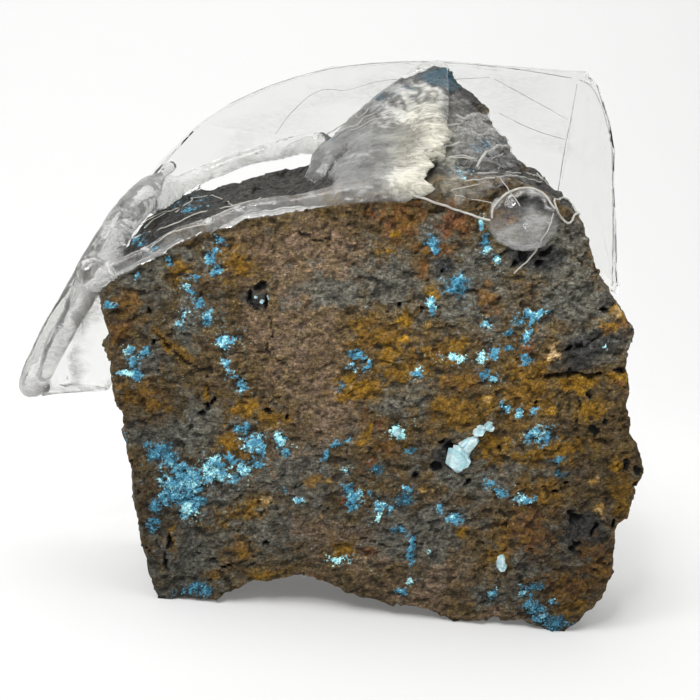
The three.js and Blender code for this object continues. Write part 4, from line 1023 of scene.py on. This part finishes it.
def grain_tree(material):
    """Scatters small uneven balls over a mesh where it is marked blue."""
    tree, graph, given = new_tree("Crust grains", ("Grains per square metre", "Grain size"))
    blue = graph.add("GeometryNodeInputNamedAttribute", {"Name": "blue"}, data_type="FLOAT").outputs[0]
    share = graph.add("ShaderNodeMapRange", {"Value": blue, 1: 0.42, 2: 0.62}).outputs[0]
    scatter = graph.add("GeometryNodeDistributePointsOnFaces", {
        "Mesh": given["Geometry"], "Seed": 7,
        "Density": graph.math("MULTIPLY", share, given["Grains per square metre"]),
    })
    ball = graph.add("GeometryNodeMeshIcoSphere", {"Radius": 1.0, "Subdivisions": 1}).outputs["Mesh"]
    turns = {"Max": (6.28, 6.28, 6.28), "Seed": 3}
    turn = graph.add("FunctionNodeRandomValue", turns, data_type="FLOAT_VECTOR").outputs[0]
    sizes = {"Min": (0.4, 0.3, 0.4), "Max": (1.2, 0.9, 1.4), "Seed": 5}
    size = graph.add("FunctionNodeRandomValue", sizes, data_type="FLOAT_VECTOR").outputs[0]
    scale = graph.add("ShaderNodeVectorMath", {0: size, "Scale": given["Grain size"]}, operation="SCALE")
    grains = graph.add("GeometryNodeInstanceOnPoints", {
        "Points": scatter.outputs["Points"], "Instance": ball, "Rotation": turn,
        "Scale": scale.outputs[0],
    }).outputs[0]
    close_tree(graph, grains, material)
    return tree


def make_crust(settings, stone):
    """The grains that stand out of the blue crusts."""
    crust = settings.crust
    grains = linked("crust_grains", stone.data.copy())
    grains.data.materials.clear()
    values = {"Grains per square metre": crust.density, "Grain size": crust.grain}
    grains = run_tree(grains, grain_tree(crust_material(crust)), values)
    finish_piece(grains, "rock")


# Crystals


def make_crystals(settings, rock_tree):
    """Pale crystals: each is a small cluster of irregular faceted blocks."""
    crystal = settings.crystal
    bm = bmesh.new()
    for number, (x, z, width, height, turn) in enumerate(CRYSTALS):
        for part, share in enumerate(BLOCK_SIZES):
            odd = 0.3 * lattice(np.array([[number, part, n] for n in (1, 2, 3)]), 4)
            aside = min(part, 1) * odd
            centre = on_surface(rock_tree, x + aside[0] * width, z + aside[1] * height)
            size = (share * width, share * height, crystal.rise / MM)
            add_block(bm, centre, size, turn + 60 * odd[2], 10 * number + part)
    bmesh.ops.bevel(bm, geom=bm.edges[:], offset=0.04 * MM, segments=1, affect="EDGES")
    bmesh.ops.recalc_face_normals(bm, faces=bm.faces)
    mesh = bpy.data.meshes.new("pale_crystals")
    bm.to_mesh(mesh)
    bm.free()
    piece = linked("pale_crystals", mesh)
    mesh.materials.append(crystal_material(crystal))
    finish_piece(piece, "rock")


def add_block(bm, centre, size, turn, seed):
    """A block with six uneven sides and a smaller, tilted top: the hull of twelve points."""
    width, height, rise = size
    c, s = math.cos(math.radians(turn)), math.sin(math.radians(turn))
    odd = lattice(np.array([[seed, n, 2] for n in range(36)]), 5)
    corners = []
    for n in range(12):
        top = n >= 6
        angle = 2 * math.pi * (n % 6 + 0.35 * odd[n]) / 6
        reach = (0.42 if top else 0.56) * (1 + 0.18 * odd[12 + n])
        dx, dz = width * reach * math.cos(angle), height * reach * math.sin(angle)
        deep = -rise * (1 + 0.4 * odd[24 + n]) if top else 0.4
        corners.append(placed(centre[0] + dx * c - dz * s, centre[1] + deep, centre[2] + dx * s + dz * c))
    hull = bmesh.ops.convex_hull(bm, input=[bm.verts.new(corner) for corner in corners])
    inside = [v for v in hull["geom_interior"] if isinstance(v, bmesh.types.BMVert)]
    bmesh.ops.delete(bm, geom=inside, context="VERTS")


def on_surface(tree, x, z, lift=0.0):
    """Where the eye's line through x, z on the plane of the face meets a surface or passes nearest it."""
    eye = placed(*EYE)
    way = (placed(x, FACE_Y, z) - eye).normalized()
    hit = tree.ray_cast(eye, way)[0]
    if hit is None:
        near = [tree.find_nearest(eye + way * reach * MM) for reach in REACHES]
        hit = min(near, key=lambda found: found[3])[0]
    return face_points(np.array([hit - way * lift * MM]))[0]


# Glue


def wet_underside(mesh, rock_tree, glue):
    """Moves the glue's underside onto the rock, and a little into it."""
    points, normals = read_points(mesh), read_normals(mesh)
    for n, (point, normal) in enumerate(zip(points, normals)):
        hit, rock_normal, _, distance = rock_tree.find_nearest(Vector(point), glue.reach)
        if hit is None:
            continue
        towards = (hit - Vector(point)).dot(Vector(normal))
        if towards > 0.2 * distance or (Vector(point) - hit).dot(rock_normal) < 0:
            points[n] = hit - rock_normal * glue.sink
    write_points(mesh, points)


def domed(points, normals):
    """How much higher the middle of the round drop stands than its rim, in millimetres."""
    reach = nearness(as_seen(points), (DROP,))[0]
    return 0.9 * np.sqrt(np.clip(reach, 0, 1)) * facing_eye(points, normals)


def torn_edge(points):
    """How far the right edge of the glue on the slope strays sideways, in millimetres."""
    free_edge = smoothstep(points[:, 0], 6, 10) * smoothstep(points[:, 2], 46, 50)
    free_edge *= 1 - smoothstep(points[:, 2], 61, 65)
    return free_edge * (2.2 * fractal(points * (1, 1, 1.4), 2.6, 191, 3, 0.7) - 0.4)


def swell_glue(mesh, node, ripple):
    """Swells the glue. The round drop is domed, and the free edge of the cover is torn."""
    points, normals = face_points(read_points(mesh)), turned_normals(mesh)
    swell = 0.22 + ripple * fractal(points, 3.2, 151, 2)
    for amount, line in SWELLS:
        swell += amount * (1 - smoothstep(line_distance(as_seen(points), line), 0.8, 2.2))
    if node == "glue_drop":
        swell += domed(points, normals)
    moved = points + normals * swell[:, None]
    if node == "glue_main":
        moved[:, 0] += torn_edge(points)
    write_points(mesh, row_points(moved))


def make_glue(settings, rock_tree):
    """The cover on the slope and the round drop, as two pieces."""
    glue = settings.glue
    material = clear_material("Clear glue", glue, 1.9, 0.45)
    made = []
    for node, name, ripple in (("glue_main", "glue_cover", 0.12), ("glue_drop", "glue_bead", 0.1)):
        piece = softened(remeshed(merged_copy(node, name), glue.mesh_size), 10)
        swell_glue(piece.data, node, ripple)
        wet_underside(piece.data, rock_tree, glue)
        piece = softened(piece, 3)
        shade_smooth(piece.data)
        piece.data.materials.append(material)
        finish_piece(piece, "clear_glue", node)
        made.append(piece)
    return made


def milkiness(seen, patches):
    """How milky each point is, painted highlights included. Each patch fades from its middle, and the
    milkiest one counts.
    """
    milk = np.zeros(len(seen))
    for patch in patches:
        near = nearness(seen, (patch,))[0]
        milk = np.maximum(milk, smoothstep(near, 0.1, 0.75) * patch[5])
    return milk


def skin_over(source, name, patches, lift, streak, haze, slot):
    """A thin milky skin, and painted highlights where the patches hold them, over the parts of a piece
    that the eye sees, where the patches say.

    It lies lift millimetres over the piece, and streak says how its streaks are squeezed along x, y, z.
    """
    skin = linked(name, source.data.copy())
    mesh = skin.data
    mesh.materials.clear()
    points, normals = face_points(read_points(mesh)), turned_normals(mesh)
    torn = np.stack([0.9 * fractal(points, 2.2, seed, 3, 0.7) for seed in (163, 167)], axis=1)
    seen = as_seen(points) + torn
    shown = facing_eye(points, normals)
    cover = smoothstep(nearness(seen, patches)[0], 0.15, 0.6) * shown
    streaks = 0.5 + 0.5 * fractal(points * streak, 2.6, 187, 3, 0.6)
    raised = lift + 0.09 * cover * np.clip(streaks, 0, 1)
    write_points(mesh, row_points(points + normals * raised[:, None]))
    paint(mesh, "milk", shown * milkiness(seen, patches) * np.clip(0.65 + 0.9 * streaks, 0.3, 1.7))
    paint(mesh, "warm", smoothstep(nearness(seen, WARM)[0], 0.1, 0.8))
    drop_faces(mesh, cover < 0.02)
    wall = skin.modifiers.new("Skin", "SOLIDIFY")
    wall.thickness, wall.offset = haze.thickness, 1.0
    baked(skin)
    skin.data.materials.append(milk_material(haze))
    finish_piece(skin, slot)


def drop_faces(mesh, unwanted):
    """Deletes the faces whose points are all unwanted."""
    bm = bmesh.new()
    bm.from_mesh(mesh)
    bare = [f for f in bm.faces if all(unwanted[v.index] for v in f.verts)]
    bmesh.ops.delete(bm, geom=bare, context="FACES")
    bm.to_mesh(mesh)
    bm.free()


# Tray


def make_tray(settings):
    """The tray, with its sheet thinned and slightly wavy."""
    tray = settings.tray
    piece = merged_copy("plastic_tray", "tray_shell")
    mesh = piece.data
    cut_long_edges(mesh, tray.mesh_size)
    points = face_points(read_points(mesh))
    sway = 0.16 * fractal(points, 9, 171, 3)[:, None]
    moved = points + sway - tray.thinning / MM * turned_normals(mesh)
    write_points(mesh, row_points(moved))
    shade_smooth(mesh)
    mesh.materials.append(clear_material("Clear tray plastic", tray, 6.0, 0.2))
    mesh.set_sharp_from_angle(angle=math.radians(38))
    finish_piece(piece, "clear_plastic", "plastic_tray")
    return piece


def cut_long_edges(mesh, longest):
    """Halves the edges that are too long, three times over."""
    bm = bmesh.new()
    bm.from_mesh(mesh)
    for _ in range(3):
        long_edges = [e for e in bm.edges if e.calc_length() > longest]
        bmesh.ops.subdivide_edges(bm, edges=long_edges, cuts=1)
        bmesh.ops.triangulate(bm, faces=bm.faces[:])
    bm.to_mesh(mesh)
    bm.free()


def crease_material(tray):
    """Painted reflection: grey that comes and goes along a line."""
    material, graph = new_material("Tray creases")
    tone = graph.ramp(graph.noise(graph.millimetres(), 3.0), 0.35, 0.65, 0.25, 0.6)
    close_material(graph, graph.add("ShaderNodeBsdfPrincipled", {
        "Base Color": rgba(tray.crease), "Roughness": 0.2, "Alpha": tone,
    }).outputs[0])
    return material


def make_creases(settings, tray_tree):
    """Thin grey tubes on the fold lines and cut edges of the tray: the grey there is painted reflection.
    """
    tray = settings.tray
    lines = [(width, 0.02, line) for width, line in CREASES]
    tree = thread_tree("Tray creases", crease_material(tray), 0.1)
    make_lines("tray_creases", lines, tray_tree, tree, tray.crease_radius, "clear_plastic")


# Threads


def make_lines(name, lines, surface, tree, radius, slot):
    """A piece of thin tubes that follow the lines over what the eye sees."""
    curve = bpy.data.curves.new(name, "CURVE")
    curve.dimensions = "3D"
    for width, lift, line in lines:
        add_line(curve, width, [placed(*on_surface(surface, x, z, lift)) for x, z in line])
    piece = run_tree(linked(name, curve), tree, {"Radius": radius})
    shade_smooth(piece.data)
    finish_piece(piece, slot)


def add_line(curve, width, points):
    """A smooth line through the points, on a curve that gets its thickness later."""
    spline = curve.splines.new("BEZIER")
    spline.bezier_points.add(len(points) - 1)
    for knot, point in zip(spline.bezier_points, points):
        knot.co = point
        knot.radius = width
        knot.handle_left_type = knot.handle_right_type = "AUTO"


def thread_tree(name, material, sway):
    """Makes a curve's lines thin tubes that sway by that many millimetres."""
    tree, graph, given = new_tree(name, ("Radius",))
    even = graph.add("GeometryNodeResampleCurve", {"Curve": given["Geometry"]})
    even.mode = "LENGTH"
    even.inputs["Length"].default_value = 0.35 * MM
    where = graph.add("GeometryNodeInputPosition").outputs[0]
    wobble = graph.add("ShaderNodeTexNoise", {"Vector": where, "Scale": 700.0, "Detail": 1.0})
    centred = {0: wobble.outputs["Color"], 1: (0.5, 0.5, 0.5)}
    centred = graph.add("ShaderNodeVectorMath", centred, operation="SUBTRACT").outputs[0]
    offset = {0: centred, "Scale": sway * MM}
    offset = graph.add("ShaderNodeVectorMath", offset, operation="SCALE").outputs[0]
    moved = graph.add("GeometryNodeSetPosition", {"Geometry": even.outputs[0], "Offset": offset})
    ring = graph.add("GeometryNodeCurvePrimitiveCircle", {"Resolution": 7, "Radius": given["Radius"]})
    swept = graph.add("GeometryNodeCurveToMesh", {
        "Curve": moved.outputs[0], "Profile Curve": ring.outputs[0],
        "Scale": graph.add("GeometryNodeInputRadius").outputs[0], "Fill Caps": True,
    })
    close_tree(graph, swept.outputs[0], material)
    return tree


def threads_material(threads):
    """Dull, half clear glue, darker in places."""
    material, graph = new_material("Glue threads")
    tone = graph.ramp(graph.noise(graph.millimetres(), 1.0), 0.35, 0.65)
    colour = graph.mix(tone, rgba(threads.colour), rgba([0.75 * c for c in threads.colour]))
    close_material(graph, graph.add("ShaderNodeBsdfPrincipled", {
        "Base Color": colour, "Roughness": 0.25, "Alpha": 0.75,
    }).outputs[0])
    return material


def make_threads(settings, surface):
    """Hair-thin strings of glue, laid from point to point over what the eye sees."""
    threads = settings.thread
    tree = thread_tree("Glue threads", threads_material(threads), 0.5)
    make_lines("glue_threads", THREADS, surface, tree, threads.radius, "clear_glue")


# Stage


def sweep_material(stage):
    """A matt pale grey that shines a little, most at the back and on the left."""
    material, graph = new_material("Pale sweep")
    place = graph.add("ShaderNodeSeparateXYZ", {0: graph.millimetres()}).outputs
    behind = graph.ramp(place["Y"], -140, 60)
    left = graph.ramp(place["X"], -40, 160, 1.0, 0.82)
    glow = graph.mix(graph.math("MULTIPLY", behind, left), rgba((0, 0, 0)), rgba((1, 1, 0.98)))
    close_material(graph, graph.add("ShaderNodeBsdfPrincipled", {
        "Base Color": rgba(stage.colour), "Roughness": 0.9, "Emission Strength": stage.glow,
        "Emission Color": glow,
    }).outputs[0])
    return material


def make_sweep(stage):
    """A floor that curves up into a backdrop."""
    profile = [(SWEEP_FRONT, 0.0), (BEND_START, 0.0)]
    for angle in np.linspace(0.1, math.pi / 2, 16):
        profile.append((BEND_START + BEND_RADIUS * math.sin(angle), BEND_RADIUS * (1 - math.cos(angle))))
    profile.append((BEND_START + BEND_RADIUS, SWEEP_TOP))
    verts = [(x, y, z) for y, z in profile for x in (-SWEEP_HALF_WIDTH, SWEEP_HALF_WIDTH)]
    faces = [(2 * n, 2 * n + 1, 2 * n + 3, 2 * n + 2) for n in range(len(profile) - 1)]
    mesh = bpy.data.meshes.new("sweep")
    mesh.from_pydata(verts, [], faces)
    shade_smooth(mesh)
    mesh.materials.append(sweep_material(stage))
    linked("sweep", mesh)


def make_room(stage):
    """Pale light from all round, weaker from the front."""
    world = bpy.data.worlds.new("Pale room")
    world.use_nodes = True
    room = Graph(world.node_tree)
    way = room.add("ShaderNodeSeparateXYZ", {0: room.add("ShaderNodeTexCoord").outputs["Generated"]})
    strength = room.ramp(way.outputs["Y"], -0.35, 0.15, stage.room, 1.0)
    background = world.node_tree.nodes["Background"]
    background.inputs["Color"].default_value = rgba((1, 1, 1))
    world.node_tree.links.new(strength, background.inputs["Strength"])
    bpy.context.scene.world = world


def make_stage(settings):
    """A seamless pale sweep, soft light from above and the left, and the camera."""
    stage = settings.stage
    make_sweep(stage)
    add_light("Key", (-0.22, -0.34, 0.46), 0.3, stage.key)
    add_light("Glint", (-0.12, -0.42, 0.40), 0.05, stage.glint)
    add_light("Fill", (0.42, -0.3, 0.2), 0.35, stage.fill)
    add_light("Backdrop", (0.0, 0.02, 0.62), 0.5, stage.back, aim=BACKDROP_FOOT)
    make_room(stage)
    bpy.context.scene.view_settings.view_transform = "Standard"
    add_camera()


def add_light(name, place, size, power, aim=MIDDLE):
    """A square lamp of that size and power, turned to what it is aimed at."""
    light = bpy.data.lights.new(name, "AREA")
    light.size = size
    light.energy = power
    lamp = bpy.data.objects.new(name, light)
    bpy.context.scene.collection.objects.link(lamp)
    lamp.location = place
    lamp.rotation_euler = (Vector(aim) - Vector(place)).to_track_quat("-Z", "Y").to_euler()


def add_camera():
    """The camera of the face frame, carried over to the row frame with its lean."""
    camera = bpy.data.cameras.new("Camera")
    camera.lens = LENS
    camera.clip_start = 0.01
    eye, aim = placed(*EYE), placed(*AIM)
    back = (eye - aim).normalized()
    right = (placed(1, 0, 0) - placed(0, 0, 0)).normalized()
    up = back.cross(right)
    holder = bpy.data.objects.new("Camera", camera)
    bpy.context.scene.collection.objects.link(holder)
    holder.matrix_world = Matrix((
        (right.x, up.x, back.x, eye.x),
        (right.y, up.y, back.y, eye.y),
        (right.z, up.z, back.z, eye.z),
        (0, 0, 0, 1),
    ))
    bpy.context.scene.camera = holder


# Settings, operators and panel


def colour_setting(name, description, default):
    return FloatVectorProperty(name=name, description=description, default=default, subtype="COLOR",
                               size=3, min=0.0, max=1.0)


def length_setting(name, description, default):
    return FloatProperty(name=name, description=description, default=default, min=0.0, unit="LENGTH",
                         subtype="DISTANCE")


def share_setting(name, description, default):
    return FloatProperty(name=name, description=description, default=default, min=0.0, max=1.0,
                         subtype="FACTOR")


def power_setting(name, description, default):
    return FloatProperty(name=name, description=description, default=default, min=0.0, unit="POWER")


def number_setting(name, description, default):
    return FloatProperty(name=name, description=description, default=default, min=0.0)


class RockSettings(bpy.types.PropertyGroup):
    mesh_size: length_setting("Mesh size", "Spacing of the mesh before its front is refined", 0.58 * MM)
    chip_depth: length_setting("Chip depth", "Depth of the chips on the broken sides", 0.35 * MM)
    grain_depth: length_setting("Grain depth", "Relief of the rock's grain", 0.17 * MM)
    brown: colour_setting("Brown", "Main colour of the rock", (0.108, 0.074, 0.031))
    umber: colour_setting("Umber", "Darker patches of the rock", (0.068, 0.047, 0.022))
    mauve: colour_setting("Mauve", "Red-brown patches of the rock", (0.149, 0.105, 0.067))
    grey: colour_setting("Grey", "Grey patches of the rock", (0.102, 0.097, 0.077))
    plum: colour_setting("Plum cast", "Cast of the redder parts", (1.0, 0.95, 0.98))
    olive: colour_setting("Olive cast", "Cast of the yellower parts", (0.98, 0.96, 0.80))
    # Slate also colours the painted shade on the up-facing top behind the face.
    slate: colour_setting("Slate", "Dark fresh breaks", (0.037, 0.037, 0.035))
    rust: colour_setting("Rust", "Red end of the iron stain", (0.170, 0.052, 0.016))
    ochre: colour_setting("Ochre", "Brown-yellow iron stain", (0.190, 0.096, 0.006))
    wash: colour_setting("Wash", "Thin iron wash round the stains", (0.146, 0.084, 0.014))
    yellow: colour_setting("Yellow", "Bright limonite", (0.310, 0.162, 0.008))
    cream: colour_setting("Cream", "Palest crumbs of the stain", (0.600, 0.440, 0.240))
    # The black of pits, holes and cracks is painted shade.
    pit: colour_setting("Pit", "Inside of the pits", (0.008, 0.008, 0.009))
    rough_low: share_setting("Least roughness", "Roughness of the smoothest grains", 0.6)


class CrustSettings(bpy.types.PropertyGroup):
    deep: colour_setting("Deep blue", "Thin or shaded crust", (0.018, 0.072, 0.105))
    bright: colour_setting("Bright blue", "Most of the crust", (0.082, 0.305, 0.450))
    pale: colour_setting("Pale blue", "Tips of the crust", (0.560, 1.000, 1.000))
    grain: length_setting("Grain size", "Radius of a middling grain", 0.17 * MM)
    density: number_setting("Grains", "Grains per square metre of full crust", 9e6)


class CrystalSettings(bpy.types.PropertyGroup):
    colour: colour_setting("Pale turquoise", "The crystals", (0.340, 0.570, 0.620))
    cloud: colour_setting("Cloud", "Whitish parts of the crystals", (0.680, 0.810, 0.830))
    rise: length_setting("Rise", "How far the crystals stand out of the face", 0.9 * MM)


class GlueSettings(bpy.types.PropertyGroup):
    mesh_size: length_setting("Mesh size", "Spacing of the glue's mesh", 0.32 * MM)
    colour: colour_setting("Tint", "Tint of the clear glue", (0.850, 0.850, 0.840))
    roughness: share_setting("Roughness", "Roughness of the clear glue", 0.06)
    index: number_setting("IOR", "Index of refraction of the clear glue", 1.4)
    reach: length_setting("Reach", "How close to the rock the glue is drawn onto it", 0.55 * MM)
    sink: length_setting("Sink", "How deep its underside lies in the rock", 0.25 * MM)


class HazeSettings(bpy.types.PropertyGroup):
    # Milk also colours the painted highlights on the glue.
    colour: colour_setting("Milk", "Milky parts of the glue", (0.500, 0.500, 0.490))
    warm: colour_setting("Warm milk", "Yellowed milky parts of the glue", (0.620, 0.600, 0.500))
    lift: length_setting("Lift", "How far the milky skin lies over the clear glue", 0.05 * MM)
    film: length_setting("Film", "How far the film of glue lies over the rock", 0.25 * MM)
    frost: length_setting("Frost", "How far the frost lies over the tray", 0.03 * MM)
    thickness: length_setting("Thickness", "Thickness of the milky skin", 0.04 * MM)


class TraySettings(bpy.types.PropertyGroup):
    mesh_size: length_setting("Mesh size", "Longest edge of the tray's mesh", 1.6 * MM)
    colour: colour_setting("Tint", "Tint of the clear plastic", (0.885, 0.890, 0.875))
    thinning: length_setting("Thinning", "How much is taken off each side of the sheet", 0.24 * MM)
    # Crease is the colour of the painted reflection along folds and cut edges.
    crease: colour_setting("Crease", "Fold lines and cut edges", (0.300, 0.300, 0.290))
    crease_radius: length_setting("Crease radius", "Radius of a fold line of width 1", 0.07 * MM)
    roughness: share_setting("Roughness", "Roughness of the plastic", 0.03)
    index: number_setting("IOR", "Index of refraction of the plastic", 1.06)


class ThreadSettings(bpy.types.PropertyGroup):
    radius: length_setting("Radius", "Radius of a thread of width 1", 0.09 * MM)
    colour: colour_setting("Colour", "The threads", (0.620, 0.600, 0.540))


class StageSettings(bpy.types.PropertyGroup):
    colour: colour_setting("Sweep", "The floor and backdrop", (0.660, 0.660, 0.660))
    key: power_setting("Key light", "Light from above and the left", 2.4)
    glint: power_setting("Glint light", "Small light for crisp glints", 0.5)
    fill: power_setting("Fill light", "Light from the right", 0.3)
    back: power_setting("Backdrop light", "Light on the backdrop", 1.0)
    glow: number_setting("Glow", "How bright the backdrop itself shines", 0.2)
    room: number_setting("Room light", "Strength of the light from the front", 0.3)


class SpecimenSettings(bpy.types.PropertyGroup):
    rock: PointerProperty(type=RockSettings, name="Rock", description="The slab")
    crust: PointerProperty(type=CrustSettings, name="Crust", description="Blue crusts")
    crystal: PointerProperty(type=CrystalSettings, name="Crystals", description="Pale crystals")
    glue: PointerProperty(type=GlueSettings, name="Glue", description="Clear glue")
    haze: PointerProperty(type=HazeSettings, name="Haze", description="Milky parts of the glue")
    tray: PointerProperty(type=TraySettings, name="Tray", description="Clear plastic")
    thread: PointerProperty(type=ThreadSettings, name="Threads", description="Threads of glue")
    stage: PointerProperty(type=StageSettings, name="Stage", description="Floor, light and camera")


class SHATTUCKITE_OT_rock(bpy.types.Operator):
    """Make the rock with its stains, crusts and pits"""

    bl_idname = "shattuckite.rock"
    bl_label = "Rock"
    bl_options = {"REGISTER", "UNDO"}

    def execute(self, context):
        settings = context.scene.shattuckite
        make_stone(settings)
        return {"FINISHED"}


class SHATTUCKITE_OT_crust(bpy.types.Operator):
    """Scatter the grains of the blue crusts"""

    bl_idname = "shattuckite.crust"
    bl_label = "Crust grains"
    bl_options = {"REGISTER", "UNDO"}

    def execute(self, context):
        settings = context.scene.shattuckite
        make_crust(settings, bpy.data.objects["rock"])
        return {"FINISHED"}


class SHATTUCKITE_OT_crystals(bpy.types.Operator):
    """Make the pale crystals that stand on the face"""

    bl_idname = "shattuckite.crystals"
    bl_label = "Pale crystals"
    bl_options = {"REGISTER", "UNDO"}

    def execute(self, context):
        settings = context.scene.shattuckite
        make_crystals(settings, tree_of(bpy.data.objects["rock"]))
        return {"FINISHED"}


class SHATTUCKITE_OT_glue(bpy.types.Operator):
    """Make the clear glue, its milky skin and its painted highlights"""

    bl_idname = "shattuckite.glue"
    bl_label = "Glue"
    bl_options = {"REGISTER", "UNDO"}

    def execute(self, context):
        settings = context.scene.shattuckite
        rock = bpy.data.objects["rock"]
        cover, bead = make_glue(settings, tree_of(rock))
        haze = settings.haze
        lift = haze.lift / MM
        skin_over(cover, "milk_on_cover", MILK_AND_GLINTS, lift, (0.7, 1, 1.3), haze, "clear_glue")
        skin_over(bead, "milk_on_bead", MILK_AND_GLINTS, lift, (1, 1, 1), haze, "clear_glue")
        skin_over(rock, "glue_film", FILM, haze.film / MM, (0.3, 1, 2.4), haze, "clear_glue")
        return {"FINISHED"}


class SHATTUCKITE_OT_tray(bpy.types.Operator):
    """Make the torn clear tray"""

    bl_idname = "shattuckite.tray"
    bl_label = "Tray"
    bl_options = {"REGISTER", "UNDO"}

    def execute(self, context):
        settings = context.scene.shattuckite
        tray = make_tray(settings)
        haze = settings.haze
        skin_over(tray, "tray_frost", FROST, haze.frost / MM, (1, 1, 0.4), haze, "clear_plastic")
        make_creases(settings, tree_of(tray))
        return {"FINISHED"}


class SHATTUCKITE_OT_threads(bpy.types.Operator):
    """Lay the hair-thin threads of glue"""

    bl_idname = "shattuckite.threads"
    bl_label = "Threads"
    bl_options = {"REGISTER", "UNDO"}

    def execute(self, context):
        settings = context.scene.shattuckite
        under = [bpy.data.objects[name] for name in ("rock", "glue_cover", "glue_bead")]
        make_threads(settings, tree_of(*under))
        return {"FINISHED"}


class SHATTUCKITE_OT_stage(bpy.types.Operator):
    """Make the sweep, the lights and the camera"""

    bl_idname = "shattuckite.stage"
    bl_label = "Stage"
    bl_options = {"REGISTER", "UNDO"}

    def execute(self, context):
        settings = context.scene.shattuckite
        make_stage(settings)
        return {"FINISHED"}


OPERATORS = (
    SHATTUCKITE_OT_stage, SHATTUCKITE_OT_rock, SHATTUCKITE_OT_crust, SHATTUCKITE_OT_crystals,
    SHATTUCKITE_OT_glue, SHATTUCKITE_OT_tray, SHATTUCKITE_OT_threads,
)


class SHATTUCKITE_PT_pieces(bpy.types.Panel):
    """Lists the pieces of the specimen"""

    bl_label = "Shattuckite specimen"
    bl_space_type = "VIEW_3D"
    bl_region_type = "UI"
    bl_category = "Shattuckite"

    def draw(self, context):
        for operator in OPERATORS:
            self.layout.operator(operator.bl_idname)


CLASSES = (
    RockSettings, CrustSettings, CrystalSettings, GlueSettings, HazeSettings, TraySettings,
    ThreadSettings, StageSettings, SpecimenSettings, *OPERATORS, SHATTUCKITE_PT_pieces,
)


def register():
    for cls in CLASSES:
        bpy.utils.register_class(cls)
    bpy.types.Scene.shattuckite = PointerProperty(type=SpecimenSettings)


def unregister():
    del bpy.types.Scene.shattuckite
    for cls in reversed(CLASSES):
        bpy.utils.unregister_class(cls)


def main():
    register()
    bpy.ops.shattuckite.stage()
    bpy.ops.shattuckite.rock()
    bpy.ops.shattuckite.crust()
    bpy.ops.shattuckite.crystals()
    bpy.ops.shattuckite.glue()
    bpy.ops.shattuckite.tray()
    bpy.ops.shattuckite.threads()


if __name__ == "__main__":
    main()
